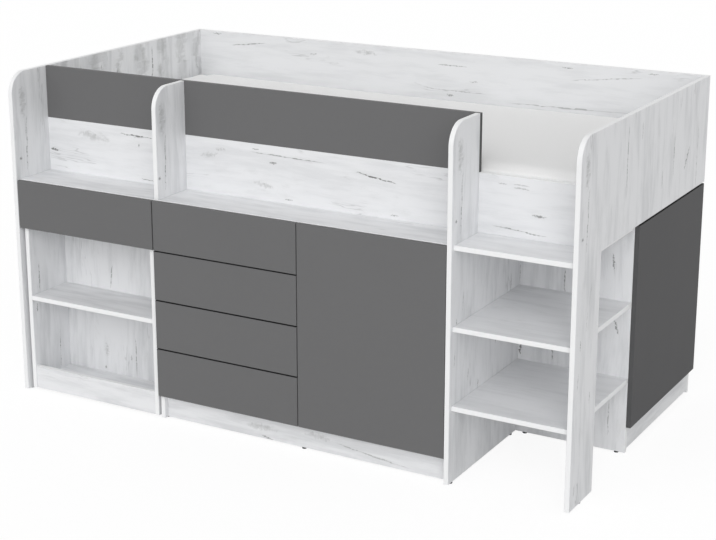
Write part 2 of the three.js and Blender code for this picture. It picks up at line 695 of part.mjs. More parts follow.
function endHinges() {
  const hingeEdge = BACK - END_DOOR_SETBACK;
  return Object.entries(hingeHeights()).map(([level, z]) => {
    const arm = turned(hingeArm(BOARD - END_DOOR_SETBACK), [0, -1, 0], [-1, 0, 0], [0, 0, -1]);
    return piece(`end_cupboard_hinge_${level}`, nickel, arm, [RIGHT_OUTER, hingeEdge, z]);
  });
}

// Boards of the desk: a shelved pedestal in front, a long top and a rear leg
function deskBoards() {
  const widthX = [DESK_LEFT, DESK_RIGHT];
  const insideX = [DESK_INNER_LEFT, DESK_INNER_RIGHT];
  const leftX = [DESK_LEFT, DESK_INNER_LEFT];
  const rightX = [DESK_INNER_RIGHT, DESK_RIGHT];
  const sideY = [FRONTS_BACK, PEDESTAL_REAR];
  const shelfY = [FRONTS_BACK, PEDESTAL_BACK];
  const plinthY = [FRONTS_BACK + DESK_PLINTH_RECESS, FRONTS_BACK + DESK_PLINTH_RECESS + BOARD];
  const floorY = [plinthY[1], PEDESTAL_BACK];
  const fullZ = [DESK_FOOT, DESK_UNDER];
  const shelfZ = [DESK_SHELF_HEIGHT - BOARD, DESK_SHELF_HEIGHT];
  const floorZ = [DESK_FLOOR_HEIGHT - BOARD, DESK_FLOOR_HEIGHT];
  const stretcherZ = [DESK_UNDER - STRETCHER_HEIGHT, DESK_UNDER];
  const fasciaX = [LEFT_INNER + FASCIA_PLAY, BAY_PANEL_LEFT - FASCIA_PLAY];
  const fasciaZ = [FRONT_TOP - FRONT_HEIGHT, FRONT_TOP];
  return [
    piece('desk_top', craftWhite, flatSheet(widthX, [FRONTS_BACK, DESK_BACK], [DESK_UNDER, DESK_TOP])),
    piece('desk_left_side', craftWhite, sideSheet(leftX, sideY, fullZ)),
    piece('desk_right_side', craftWhite, sideSheet(rightX, sideY, fullZ)),
    piece('desk_back', craftWhite, facingSheet(insideX, [PEDESTAL_BACK, PEDESTAL_REAR], fullZ)),
    piece('desk_shelf', craftWhite, flatSheet(insideX, shelfY, shelfZ)),
    piece('desk_floor', craftWhite, flatSheet(insideX, floorY, floorZ)),
    piece('desk_plinth', craftWhite, facingSheet(insideX, plinthY, [DESK_FOOT, DESK_PLINTH_TOP])),
    piece('desk_fascia', graphite, facingSheet(fasciaX, [FRONT, FRONTS_BACK], fasciaZ)),
    piece('desk_rear_leg', craftWhite, facingSheet(widthX, [DESK_LEG_FRONT, DESK_BACK], fullZ)),
    piece('desk_stretcher', craftWhite, sideSheet(leftX, [PEDESTAL_REAR, DESK_LEG_FRONT], stretcherZ)),
  ];
}

// Roller with a rounded tread and dished hub faces, turned about X
function wheelGeometry() {
  const half = WHEEL_WIDTH / 2;
  const bore = AXLE_RADIUS + WHEEL_PLAY;
  const shoulder = WHEEL_RADIUS - TREAD_ROUND;
  const profile = [[bore, -half], [HUB_RADIUS - HUB_DISH, -half], [HUB_RADIUS, HUB_DISH - half]];
  profile.push([shoulder - HUB_DISH, HUB_DISH - half], [shoulder, -half]);
  for (let step = 1; step <= TREAD_STEPS; step += 1) {
    const angle = step / TREAD_STEPS * Math.PI / 2;
    profile.push([shoulder + TREAD_ROUND * Math.sin(angle), TREAD_ROUND * (1 - Math.cos(angle)) - half]);
  }
  const mirrored = profile.map(([radius, along]) => [radius, -along]).reverse();
  const outline = [...profile, ...mirrored].map(([radius, along]) => new THREE.Vector2(radius, along));
  outline.push(outline[0].clone());
  const wheel = new THREE.LatheGeometry(outline, ROUND_STEPS);
  return turned(wheel, [0, 1, 0], [1, 0, 0], [0, 0, -1]);
}

// Cheek outlined in local Y (away from the panel) and Z, ending in a boss round the axle
function cheek([x0, x1]) {
  const centre = WHEEL_STANDOFF + WHEEL_RADIUS;
  const outline = new THREE.Shape();
  outline.moveTo(0, DESK_FOOT + PLATE_HEIGHT);
  outline.lineTo(0, WHEEL_RADIUS - BOSS_RADIUS);
  outline.absarc(centre, WHEEL_RADIUS, BOSS_RADIUS, -Math.PI / 2, Math.PI / 4, false);
  outline.closePath();
  const options = { depth: x1 - x0, bevelEnabled: false, curveSegments: CORNER_STEPS };
  const side = new THREE.ExtrudeGeometry(outline, options);
  return turned(side, [0, 1, 0], [0, 0, 1], [1, 0, 0]).translate(x0, 0, 0);
}

// Side-mount castor bracket: a plate, two cheeks and the axle
function bracketGeometry() {
  const inner = WHEEL_WIDTH / 2 + CHEEK_PLAY;
  const outer = inner + CHEEK;
  const plate = block([-PLATE_WIDTH / 2, PLATE_WIDTH / 2], [0, CHEEK], [DESK_FOOT, DESK_FOOT + PLATE_HEIGHT]);
  const axle = turned(peg(AXLE_RADIUS, 2 * outer), [0, 0, 1], [1, 0, 0], [0, 1, 0]);
  axle.translate(0, WHEEL_STANDOFF + WHEEL_RADIUS, WHEEL_RADIUS);
  return joined(plate, cheek([-outer, -inner]), cheek([inner, outer]), axle);
}

// Castor on a face of the desk; side is 1 where the wheel lies behind the face
function castor(name, x, face, side) {
  const bracket = turned(bracketGeometry(), [side, 0, 0], [0, side, 0], [0, 0, 1]);
  const wheelY = face + side * (WHEEL_STANDOFF + WHEEL_RADIUS);
  return group(
    piece(`${name}_bracket`, nickel, bracket, [x, face, 0]),
    piece(`${name}_wheel`, blackPlastic, wheelGeometry(), [x, wheelY, WHEEL_RADIUS]),
  );
}

function deskCastors() {
  const left = DESK_INNER_LEFT + CASTOR_INSET;
  const right = DESK_INNER_RIGHT - CASTOR_INSET;
  return group(
    castor('castor_front_left', left, PEDESTAL_REAR, 1),
    castor('castor_front_right', right, PEDESTAL_REAR, 1),
    castor('castor_rear_left', left, DESK_LEG_FRONT, -1),
    castor('castor_rear_right', right, DESK_LEG_FRONT, -1),
  );
}

const frame = group(
  leftEndPanel(),
  rightEndPanel(),
  stepPanel(),
  shortUpright(),
  deskBayPanel(),
  cupboardDivider(),
  ...bedBoards(),
  ...treads(),
  ...cabinetBoards(),
  ...endCupboard(),
  slattedBase(),
  mattress(),
  ...cupboardHinges(),
  ...endHinges(),
);

const bunkBed = group(
  frame,
  group(...deskBoards(), deskCastors()),
  ...drawerBottoms().map(drawer),
  cupboardDoor(),
  endDoor(),
);

export default bunkBed;
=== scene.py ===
"""Mid-sleeper bunk bed with a pull-out desk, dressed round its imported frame.

Metres, +Z up. X runs along the bed, -Y is the front and Z = 0 is the floor.
"""

import logging
import math
from abc import ABC, abstractmethod
from dataclasses import dataclass, replace
from enum import Enum
from functools import reduce

import bmesh
import bpy
import numpy as np
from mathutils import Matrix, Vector


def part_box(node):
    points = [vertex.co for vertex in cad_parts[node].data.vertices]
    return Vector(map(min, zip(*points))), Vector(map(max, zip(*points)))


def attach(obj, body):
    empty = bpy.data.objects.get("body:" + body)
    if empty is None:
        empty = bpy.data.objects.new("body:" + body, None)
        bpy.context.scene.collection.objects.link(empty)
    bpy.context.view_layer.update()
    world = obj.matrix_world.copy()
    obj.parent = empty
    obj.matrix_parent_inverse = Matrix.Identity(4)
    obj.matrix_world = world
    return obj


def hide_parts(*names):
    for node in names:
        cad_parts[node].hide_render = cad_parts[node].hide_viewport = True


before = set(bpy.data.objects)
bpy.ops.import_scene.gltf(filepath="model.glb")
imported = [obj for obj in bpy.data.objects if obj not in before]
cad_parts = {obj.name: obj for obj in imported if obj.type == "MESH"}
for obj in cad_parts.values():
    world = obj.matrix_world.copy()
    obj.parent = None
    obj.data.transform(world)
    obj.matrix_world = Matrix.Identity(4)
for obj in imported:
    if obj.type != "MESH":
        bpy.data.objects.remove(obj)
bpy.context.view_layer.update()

log = logging.getLogger("bunk_bed")

Colour = tuple[float, float, float]
Point = tuple[float, float, float]
Socket = bpy.types.NodeSocket
Sockets = bpy.types.bpy_prop_collection
Value = float | Colour | Point | Socket
Links = dict[str | int, Value]

BED = "bed"
DESK = "desk"

WHITE: Colour = (1.0, 1.0, 1.0)
SOOT: Colour = (0.012, 0.012, 0.013)

# How near points are merged, and how near a seam a point of the cover is held, in metres
MERGE_GAP = 1e-6
SEAM_GAP = 1e-4

# Half thickness of a mark, which goes right through its board
THROUGH = 1.0e6


class Axis(Enum):
    """One of the three directions of the frame."""

    X = 0
    Y = 1
    Z = 2


X, Y, Z = Axis


# Node trees


class NodeSheet:
    """Places the nodes of one tree and links them."""

    def __init__(self, tree: bpy.types.NodeTree) -> None:
        """Keeps the tree that gets the nodes."""
        self.tree = tree

    def add(self, kind: str, inputs: Links | None = None, **settings: object) -> bpy.types.Node:
        """Adds a node.

        Args:
            kind: Blender's name of the node type, after "ShaderNode".
            inputs: value or linked socket for each named or numbered input.
            **settings: properties of the node.

        Returns:
            The new node.
        """
        node = self.tree.nodes.new(f"ShaderNode{kind}")
        for name, value in settings.items():
            setattr(node, name, value)
        self.fill(node.inputs, inputs or {})
        return node

    def feed(self, socket: Socket, value: Value) -> None:
        """Links a socket to another, or gives it a value.

        Args:
            socket: the input.
            value: a number, a colour, a vector or another socket.
        """
        if isinstance(value, Socket):
            self.tree.links.new(value, socket)
        elif socket.type == "RGBA":
            socket.default_value = (*value, 1.0)
        else:
            socket.default_value = value

    def fill(self, sockets: Sockets, values: Links) -> None:
        """Feeds several sockets, each found by its name or number."""
        for key, value in values.items():
            self.feed(sockets[key], value)

    def maths(self, operation: str, first: Value, second: Value = 0.0) -> Socket:
        """Result of one of Blender's sums on one or two numbers."""
        return self.add("Math", {0: first, 1: second}, operation=operation).outputs[0]

    def times(self, first: Value, second: Value) -> Socket:
        """Product of two numbers."""
        return self.maths("MULTIPLY", first, second)

    def plus(self, first: Value, second: Value) -> Socket:
        """Sum of two numbers."""
        return self.maths("ADD", first, second)

    def minus(self, first: Value, second: Value) -> Socket:
        """First number less the second."""
        return self.maths("SUBTRACT", first, second)

    def weighted(self, *parts: tuple[Value, float]) -> Socket:
        """Sum of numbers that are each multiplied by their weight."""
        return reduce(self.plus, [self.times(value, weight) for value, weight in parts])

    def larger(self, first: Value, second: Value) -> Socket:
        """Larger of two masks."""
        return self.maths("MAXIMUM", first, second)

    def step(self, value: Value, low: float, high: float) -> Socket:
        """Smooth step of a number.

        Args:
            value: the number.
            low: where the step is 0.
            high: where it is 1; this may be the smaller of the two.

        Returns:
            A mask from 0 to 1.
        """
        targets = (1.0, 0.0) if low > high else (0.0, 1.0)
        inputs = dict(enumerate((value, *sorted((low, high)), *targets)))
        return self.add("MapRange", inputs, interpolation_type="SMOOTHSTEP").outputs[0]

    def mixed(self, share: Value, first: Value, second: Value) -> Socket:
        """Colour between two colours: share is 0 for the first and 1 for the second."""
        return self.add("Mix", {0: share, 6: first, 7: second}, data_type="RGBA").outputs[2]

    def split(self, vector: Value) -> Sockets:
        """The three parts of a vector."""
        return self.add("SeparateXYZ", {0: vector}).outputs

    def joined(self, *parts: Value) -> Socket:
        """Vector of up to three parts; the others are nought."""
        return self.add("CombineXYZ", dict(enumerate(parts))).outputs[0]

    def moved(self, vector: Value, way: Value) -> Socket:
        """Sum of two vectors."""
        return self.add("VectorMath", {0: vector, 1: way}).outputs[0]

    def stretched(self, vector: Value, scale: Point) -> Socket:
        """Vector with each part multiplied by its own number."""
        return self.add("VectorMath", {0: vector, 1: scale}, operation="MULTIPLY").outputs[0]

    def noise(
        self, vector: Value, scale: Point, detail: float = 2.0, rough: float = 0.5
    ) -> Socket:
        """Noise on a vector that is stretched first.

        Args:
            vector: the vector, in metres.
            scale: cycles per metre along each part.
            detail: number of finer layers.
            rough: strength of each finer layer against the one before.

        Returns:
            A number about 0.5, from 0 to 1.
        """
        inputs = {"Vector": self.stretched(vector, scale), "Scale": 1.0}
        inputs |= {"Detail": detail, "Roughness": rough}
        return self.add("TexNoise", inputs).outputs[0]

    def ripple(self, *noise: Value) -> Socket:
        """The same noise about nought; it takes what noise takes."""
        return self.minus(self.noise(*noise), 0.5)

    def place(self) -> Socket:
        """Coordinates that stay with the piece."""
        return self.add("TexCoord").outputs["Object"]

    def along(self, *axes: Axis) -> Socket:
        """The same coordinates in another order of axes."""
        parts = self.split(self.place())
        return self.joined(*(parts[axis.value] for axis in axes))

    def facing(self, axis: Axis) -> Socket:
        """How squarely the surface looks along an axis, from 0 to 1."""
        normal = self.split(self.add("TexCoord").outputs["Normal"])
        return self.maths("ABSOLUTE", normal[axis.value])

    def bump(self, height: Value, strength: float, distance: float) -> Socket:
        """Normal of a height that is given in units of the distance, which is in metres."""
        inputs = {"Height": height, "Strength": strength, "Distance": distance}
        return self.add("Bump", inputs).outputs[0]


class EffectGroup:
    """Shader node group with named inputs and outputs, built once and shared."""

    def __init__(self, name: str, inputs: dict[str, str], outputs: dict[str, str]) -> None:
        """Makes the group's sockets.

        Args:
            name: name of the group.
            inputs: socket type, such as Float or Vector, of each input.
            outputs: socket type of each output.
        """
        self.tree = bpy.data.node_groups.new(name, "ShaderNodeTree")
        for in_out, sockets in (("INPUT", inputs), ("OUTPUT", outputs)):
            for socket, kind in sockets.items():
                self.tree.interface.new_socket(
                    name=socket, in_out=in_out, socket_type=f"NodeSocket{kind}"
                )
        self.sheet = NodeSheet(self.tree)
        self.given = self.tree.nodes.new("NodeGroupInput").outputs
        self.result = self.tree.nodes.new("NodeGroupOutput").inputs

    def give(self, **results: Value) -> None:
        """Feeds the group's outputs."""
        self.sheet.fill(self.result, results)

    def use(self, sheet: NodeSheet, **inputs: Value) -> Sockets:
        """Uses the group in a material.

        Args:
            sheet: node sheet of the material.
            **inputs: value or socket for each of the group's inputs.

        Returns:
            The outputs of the group node.
        """
        node = sheet.add("Group", node_tree=self.tree)
        sheet.fill(node.inputs, inputs)
        return node.outputs


OAK_PALE: Colour = (0.846, 0.852, 0.866)
OAK_STREAK: Colour = (0.715, 0.723, 0.737)
OAK_BANDING: Colour = (0.925, 0.93, 0.935)
OAK_STAIN: Colour = (0.48, 0.49, 0.48)
OAK_SPLIT: Colour = (0.10, 0.098, 0.095)


def grain_mark_group() -> EffectGroup:
    """One knot, crack or stain, added to the masks of those before it.

    The vector is measured from the mark's centre in half lengths and half widths. A crack is where
    the way across from a line that wanders along the mark is less than a width that swells and
    thins along it and ends at both tips. A knot's core and the halo round any mark are where the
    vector is short, with an outline that noise frays. Bend is how far the fibres pass round it, in
    half widths.

    Returns:
        The group.
    """
    numbers = ("Seed", "Core", "Crack", "Halo", "Dark", "Soft")
    inputs = {"Vector": "Vector"} | dict.fromkeys(numbers, "Float")
    outputs = dict.fromkeys(("Dark", "Soft", "Bend"), "Float")
    group = EffectGroup("grain_mark", inputs, outputs)
    sheet, given = group.sheet, group.given
    along, across, _ = sheet.split(given["Vector"])
    wander = sheet.ripple(sheet.joined(along, given["Seed"]), (2.1, 1.0, 1.0), 3.0, 0.6)
    swell = sheet.maths("SINE", sheet.weighted((along, 8.0), (wander, 30.0)))
    taper = sheet.minus(1.0, sheet.times(along, along))
    width = sheet.times(taper, sheet.plus(sheet.times(swell, 0.26), 0.24))
    off = sheet.maths("ABSOLUTE", sheet.plus(across, sheet.times(wander, 3.0)))
    crack = sheet.step(sheet.minus(off, width), 0.34, -0.14)
    crack = sheet.times(crack, sheet.step(taper, 0.0, 0.3))

    flat = sheet.joined(along, across, given["Seed"])
    ripple = sheet.ripple(flat, (2.4, 1.3, 1.0), 4.0, 0.7)
    radius = sheet.add("VectorMath", {0: given["Vector"]}, operation="LENGTH").outputs["Value"]
    frayed = sheet.plus(radius, sheet.times(ripple, 2.0))
    core = sheet.times(sheet.step(frayed, 0.62, 0.28), given["Core"])
    halo = sheet.times(sheet.step(frayed, 1.15, 0.1), sheet.step(ripple, 0.16, -0.2))
    dark = sheet.larger(core, sheet.times(crack, given["Crack"]))
    group.give(
        Dark=sheet.larger(dark, given["Dark"]),
        Soft=sheet.larger(sheet.times(halo, given["Halo"]), given["Soft"]),
        Bend=sheet.times(across, sheet.step(radius, 2.2, 0.3)),
    )
    return group


def craft_oak_group() -> EffectGroup:
    """Whitish oak decor: wandering streaks, fine fibres, pores, clouds, hair cracks and knots.

    The Grain vector runs along the grain in X, across it in Y and into the board in Z, in metres.
    Stain and Split are masks of marks that a board has at its own places, Stain also with any even
    painted shade of the board, and Edge is the mask of the edge band, on which the print is paler
    and plainer. Figure is the strength of the streaks.

    Returns:
        The group.
    """
    numbers = ("Seed", "Edge", "Stain", "Split", "Figure")
    inputs = {"Grain": "Vector"} | dict.fromkeys(numbers, "Float")
    group = EffectGroup("craft_oak", inputs, {"Color": "Color", "Height": "Float"})
    sheet, given = group.sheet, group.given
    seeded = {0: (3.71, 1.37, 2.53), "Scale": given["Seed"]}
    shift = sheet.add("VectorMath", seeded, operation="SCALE").outputs[0]
    moved = sheet.moved(given["Grain"], shift)
    bend = sheet.ripple(moved, (1.8, 5.0, 5.0))
    grain = sheet.moved(moved, sheet.joined(0.0, sheet.times(bend, 0.045)))

    streaks = sheet.noise(grain, (4.5, 36.0, 12.0), 4.0, 0.58)
    bands = sheet.noise(grain, (2.4, 10.0, 4.0), 3.0, 0.6)
    fibres = sheet.noise(grain, (26.0, 300.0, 60.0), 3.0, 0.6)
    pores = sheet.step(sheet.noise(grain, (60.0, 620.0, 60.0), 1.0), 0.68, 0.8)
    clouds = sheet.step(sheet.noise(grain, (7.0, 18.0, 8.0), 5.0, 0.72), 0.54, 0.76)

    contour = sheet.ripple(grain, (3.0, 26.0, 6.0), 3.0, 0.6)
    hair = sheet.step(sheet.maths("ABSOLUTE", contour), 0.018, 0.003)
    where = sheet.step(sheet.noise(grain, (4.2, 11.0, 5.0), 2.0), 0.6, 0.68)
    cracks = sheet.times(hair, where)

    fade = sheet.minus(1.0, sheet.times(given["Edge"], 0.75))
    tone = sheet.weighted((streaks, 0.5), (bands, 0.4), (fibres, 0.1))
    figure = sheet.times(fade, given["Figure"])
    shade = sheet.times(sheet.step(tone, 0.56, 0.37), figure)
    colour = sheet.mixed(shade, OAK_PALE, OAK_STREAK)
    colour = sheet.mixed(given["Edge"], colour, OAK_BANDING)

    stain = sheet.larger(sheet.times(clouds, 0.2), given["Stain"])
    colour = sheet.mixed(sheet.times(stain, fade), colour, OAK_STAIN)
    own = sheet.larger(sheet.times(pores, 0.08), sheet.times(cracks, 0.24))
    dark = sheet.times(sheet.larger(own, given["Split"]), fade)
    colour = sheet.mixed(dark, colour, OAK_SPLIT)
    group.give(Color=colour, Height=sheet.minus(sheet.times(fibres, 0.5), dark))
    return group


def film_group() -> EffectGroup:
    """Pearl texture of a plain melamine face: fine pits, and a slow change of tone and gloss.

    Returns:
        The group.
    """
    outputs = dict.fromkeys(("Tone", "Gloss", "Height"), "Float")
    group = EffectGroup("melamine_film", {"Vector": "Vector"}, outputs)
    sheet = group.sheet
    vector = group.given["Vector"]
    slow = sheet.noise(vector, (4.0, 4.0, 4.0))
    fine = sheet.noise(vector, (60.0, 60.0, 60.0), 3.0, 0.6)
    pits = sheet.noise(vector, (900.0, 900.0, 900.0))
    group.give(Tone=sheet.weighted((slow, 0.5), (fine, 0.5)), Gloss=slow, Height=pits)
    return group


GRAIN_MARK = grain_mark_group()
CRAFT_OAK = craft_oak_group()
FILM = film_group()


# Finishes


class Finish(ABC):
    """How a surface looks; it makes one material for each piece that asks."""

    @abstractmethod
    def paint(self, sheet: NodeSheet) -> Links:
        """Builds the look.

        Args:
            sheet: node sheet of the material.

        Returns:
            Value or link for each socket of the Principled shader that it changes.
        """

    def material(self, name: str) -> bpy.types.Material:
        """Makes the material.

        Args:
            name: name of the material.

        Returns:
            The material.
        """
        material = bpy.data.materials.new(name)
        material.use_nodes = True
        sheet = NodeSheet(material.node_tree)
        sheet.fill(sheet.tree.nodes["Principled BSDF"].inputs, self.paint(sheet))
        return material


class MarkKind(Enum):
    """What a mark in the decor is: the strengths of its core, its crack and its halo."""

    KNOT = (0.6, 0.5, 0.5)
    CRACK = (0.0, 0.95, 0.4)
    SPLIT = (0.0, 0.64, 0.34)
    FLECK = (0.0, 0.4, 0.3)
    STAIN = (0.0, 0.16, 0.6)


KNOT, CRACK, SPLIT, FLECK, STAIN = MarkKind


@dataclass(frozen=True)
class Mark:
    """One knot, crack, fleck or stain at its own place on a board.

    Along and across are frame coordinates of its middle, length and width its whole size, and lean
    turns it out of the grain, in degrees.
    """

    kind: MarkKind
    along: float
    across: float
    length: float
    width: float
    lean: float

    def printed(
        self, sheet: NodeSheet, grain: Value, dark: Value, soft: Value
    ) -> tuple[Socket, Socket, Socket]:
        """Adds this mark to a board's print.

        Args:
            sheet: node sheet of the board's material.
            grain: the board's grain vector.
            dark: mask of the dark marks so far.
            soft: mask of the soft marks so far.

        Returns:
            The grain vector, bent round the mark, and both masks with the mark.
        """
        inputs = {
            "Vector": grain,
            "Location": (self.along, self.across, 0.0),
            "Rotation": (0.0, 0.0, math.radians(self.lean)),
            "Scale": (self.length / 2, self.width / 2, THROUGH),
        }
        turned = sheet.add("Mapping", inputs, vector_type="TEXTURE").outputs[0]
        core, crack, halo = self.kind.value
        seed = 13.0 * self.along + 29.0 * self.across
        strengths = {"Core": core, "Crack": crack, "Halo": halo, "Dark": dark, "Soft": soft}
        result = GRAIN_MARK.use(sheet, Vector=turned, Seed=seed, **strengths)
        pull = sheet.joined(0.0, sheet.times(result["Bend"], -self.width / 4))
        return sheet.moved(grain, pull), result["Dark"], result["Soft"]


def streaks(*rows: tuple[MarkKind, int, int, int, int, int]) -> tuple[Mark, ...]:
    """Marks that each run from one point of a board to another.

    Args:
        *rows: kind, both ends, each by its place along and across the grain, and widest part of
            each mark, in millimetres.

    Returns:
        The marks.
    """
    marks = []
    for kind, *sizes in rows:
        along, across, to_along, to_across, width = (size / 1000 for size in sizes)
        run, rise = to_along - along, to_across - across
        middle = ((along + to_along) / 2, (across + to_across) / 2)
        lean = math.degrees(math.atan2(rise, run))
        marks.append(Mark(kind, *middle, math.hypot(run, rise), width, lean))
    return tuple(marks)


@dataclass(frozen=True)
class CraftOak(Finish):
    """Whitish oak board, with its grain along one axis and its faces looking along another."""

    grain: Axis
    face: Axis
    seed: float
    marks: tuple[Mark, ...] = ()
    glides_below: float = 0.0
    glides: Colour = SOOT
    figure: float = 1.0
    # An even darkening of the whole print: painted shade for boards that lie in shade.
    painted_shade_wash: float = 0.0
    roughness: float = 0.5
    gloss: float = 0.35
    relief: float = 0.0002

    def paint(self, sheet: NodeSheet) -> Links:
        """Builds the decor with this board's marks.

        Args:
            sheet: node sheet of the material.

        Returns:
            What the shader gets.
        """
        across = ({X, Y, Z} - {self.grain, self.face}).pop()
        grain = sheet.along(self.grain, across, self.face)
        # The soft mask starts from the board's even painted shade.
        dark, soft = 0.0, self.painted_shade_wash
        for mark in self.marks:
            grain, dark, soft = mark.printed(sheet, grain, dark, soft)
        edge = sheet.step(sheet.facing(self.face), 0.85, 0.4)
        inputs = {"Seed": self.seed, "Edge": edge, "Stain": soft, "Split": dark}
        decor = CRAFT_OAK.use(sheet, Grain=grain, Figure=self.figure, **inputs)
        colour = decor["Color"]
        if self.glides_below:
            height = sheet.split(sheet.place())[Z.value]
            glide = sheet.maths("LESS_THAN", height, self.glides_below)
            colour = sheet.mixed(glide, colour, self.glides)
        return {
            "Base Color": colour,
            "Roughness": self.roughness,
            "Specular IOR Level": self.gloss,
            "Normal": sheet.bump(decor["Height"], 0.35, self.relief),
        }


@dataclass(frozen=True)
class Melamine(Finish):
    """Plain melamine face with a pearl texture between two near colours.

    Edges that look along one axis may get a darker colour as painted shade.
    """

    low: Colour
    high: Colour
    edge_shade: Colour | None = None
    edge_shade_facing: Axis = Z
    roughness: float = 0.62
    gloss: float = 0.2
    relief: float = 0.00008

    def paint(self, sheet: NodeSheet) -> Links:
        """Builds the face and its banding.

        Args:
            sheet: node sheet of the material.

        Returns:
            What the shader gets.
        """
        film = FILM.use(sheet, Vector=sheet.place())
        colour = sheet.mixed(film["Tone"], self.low, self.high)
        # Painted shade: edges that look along the chosen axis get the darker colour.
        if self.edge_shade:
            edge = sheet.maths("GREATER_THAN", sheet.facing(self.edge_shade_facing), 0.5)
            colour = sheet.mixed(edge, colour, self.edge_shade)
        return {
            "Base Color": colour,
            "Roughness": sheet.plus(sheet.times(film["Gloss"], 0.1), self.roughness - 0.05),
            "Specular IOR Level": self.gloss,
            "Normal": sheet.bump(film["Height"], 0.25, self.relief),
        }


@dataclass(frozen=True)
class Pine(Finish):
    """Planed pine with its grain along one axis."""

    grain: Axis
    pale: Colour = (0.74, 0.55, 0.33)
    late: Colour = (0.56, 0.35, 0.17)

    def paint(self, sheet: NodeSheet) -> Links:
        """Builds the year rings and fibres.

        Args:
            sheet: node sheet of the material.

        Returns:
            What the shader gets.
        """
        grain = sheet.along(self.grain, *(axis for axis in Axis if axis is not self.grain))
        rings = sheet.times(sheet.noise(grain, (0.8, 55.0, 55.0)), 9.0)
        lines = sheet.step(sheet.maths("FRACT", rings), 0.3, 0.95)
        fibres = sheet.noise(grain, (12.0, 600.0, 600.0))
        share = sheet.weighted((lines, 0.6), (fibres, 0.25))
        return {
            "Base Color": sheet.mixed(share, self.pale, self.late),
            "Roughness": 0.62,
            "Normal": sheet.bump(fibres, 0.3, 0.0002),
        }


@dataclass(frozen=True)
class KnitCover(Finish):
    """Off-white knitted mattress cover with fine ribs of stitches."""

    thread: Colour = (0.94, 0.94, 0.937)
    # Painted shade: the hollows between the stitches are darker than the thread.
    shaded_hollow: Colour = (0.905, 0.905, 0.902)
    stitches_per_metre: float = 420.0

    def paint(self, sheet: NodeSheet) -> Links:
        """Builds the stitches.

        Args:
            sheet: node sheet of the material.

        Returns:
            What the shader gets.
        """
        vector = sheet.place()
        pitch = self.stitches_per_metre
        knit = sheet.stretched(vector, (pitch, 0.6 * pitch, 0.6 * pitch))
        inputs = {"Vector": knit, "Scale": 1.0}
        loops = sheet.add("TexVoronoi", inputs, feature="F1").outputs["Distance"]
        stitch = sheet.step(loops, 0.75, 0.1)
        slub = sheet.noise(vector, (30.0, 30.0, 30.0), 3.0)
        share = sheet.times(stitch, sheet.plus(sheet.times(slub, 0.4), 0.8))
        return {
            # The darker colour between stitches is painted shade.
            "Base Color": sheet.mixed(share, self.shaded_hollow, self.thread),
            "Roughness": 0.9,
            "Specular IOR Level": 0.2,
            "Sheen Weight": 0.12,
            "Sheen Roughness": 0.5,
            "Normal": sheet.bump(stitch, 0.25, 0.0003),
        }


@dataclass(frozen=True)
class Moulding(Finish):
    """Moulded plastic hub with a softer, greyer tread past a radius round its axle."""

    tread_from: float
    axle: tuple[float, float]
    hub: Colour = SOOT
    tread: Colour = (0.045, 0.045, 0.047)

    def paint(self, sheet: NodeSheet) -> Links:
        """Builds the hub and the tread.

        Args:
            sheet: node sheet of the material.

        Returns:
            What the shader gets.
        """
        place = sheet.place()
        grit = sheet.noise(place, (700.0, 700.0, 700.0))
        worn = tuple(1.6 * part + 0.01 for part in self.hub)
        parts = sheet.split(place)
        run, rise = (sheet.minus(parts[i + 1], centre) for i, centre in enumerate(self.axle))
        squares = sheet.plus(sheet.times(run, run), sheet.times(rise, rise))
        outer = sheet.maths("GREATER_THAN", squares, self.tread_from**2)
        rough = sheet.plus(sheet.times(grit, 0.2), 0.35)
        return {
            "Base Color": sheet.mixed(outer, sheet.mixed(grit, self.hub, worn), self.tread),
            "Roughness": sheet.plus(rough, sheet.times(outer, 0.25)),
            "Normal": sheet.bump(grit, 0.3, 0.0001),
        }


@dataclass(frozen=True)
class Plating(Finish):
    """Nickel-plated steel with fine scratches."""

    bright: Colour = (0.62, 0.62, 0.61)
    dull: Colour = (0.48, 0.48, 0.475)

    def paint(self, sheet: NodeSheet) -> Links:
        """Builds the wear and the scratches.

        Args:
            sheet: node sheet of the material.

        Returns:
            What the shader gets.
        """
        vector = sheet.place()
        wear = sheet.noise(vector, (90.0, 90.0, 30.0), 4.0, 0.6)
        scratches = sheet.noise(vector, (1500.0, 1500.0, 60.0), 1.0)
        return {
            "Base Color": sheet.mixed(wear, self.dull, self.bright),
            "Metallic": 1.0,
            "Roughness": sheet.plus(sheet.times(wear, 0.2), 0.22),
            "Normal": sheet.bump(scratches, 0.2, 0.00005),
        }


GRAPHITE = Melamine(low=(0.148, 0.148, 0.150), high=(0.160, 0.160, 0.162))
# A darker copy of the graphite: painted shade for the end door, which faces away from the light.
GRAPHITE_PAINTED_SHADE = Melamine(low=(0.094, 0.094, 0.096), high=(0.104, 0.104, 0.106))
BACKING = Melamine(low=(0.80, 0.805, 0.81), high=(0.84, 0.845, 0.85), roughness=0.7)
NICKEL = Plating()

# Height of the glides that the panels stand on, in metres
GLIDE_TOP = 0.005

# Near-black edges: painted shadow in the gaps round the drawer fronts and the end door.
PAINTED_GAP_SHADOW: Colour = (0.02, 0.02, 0.02)
# Darker grey: painted shade on the guard rail's end faces.
PAINTED_END_SHADE: Colour = (0.085, 0.085, 0.086)
PALE_GLIDE: Colour = (0.6, 0.61, 0.62)


def dress(finish: Finish, *nodes: str) -> None:
    """Gives CAD nodes one finish, each with a material of its own.

    Args:
        finish: the finish.
        *nodes: names of the nodes.
    """
    for node in nodes:
        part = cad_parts[node]
        part.data.materials.clear()
        part.data.materials.append(finish.material(f"{node}_finish"))
        log.info("%s: %s", node, type(finish).__name__)


# Surfaces


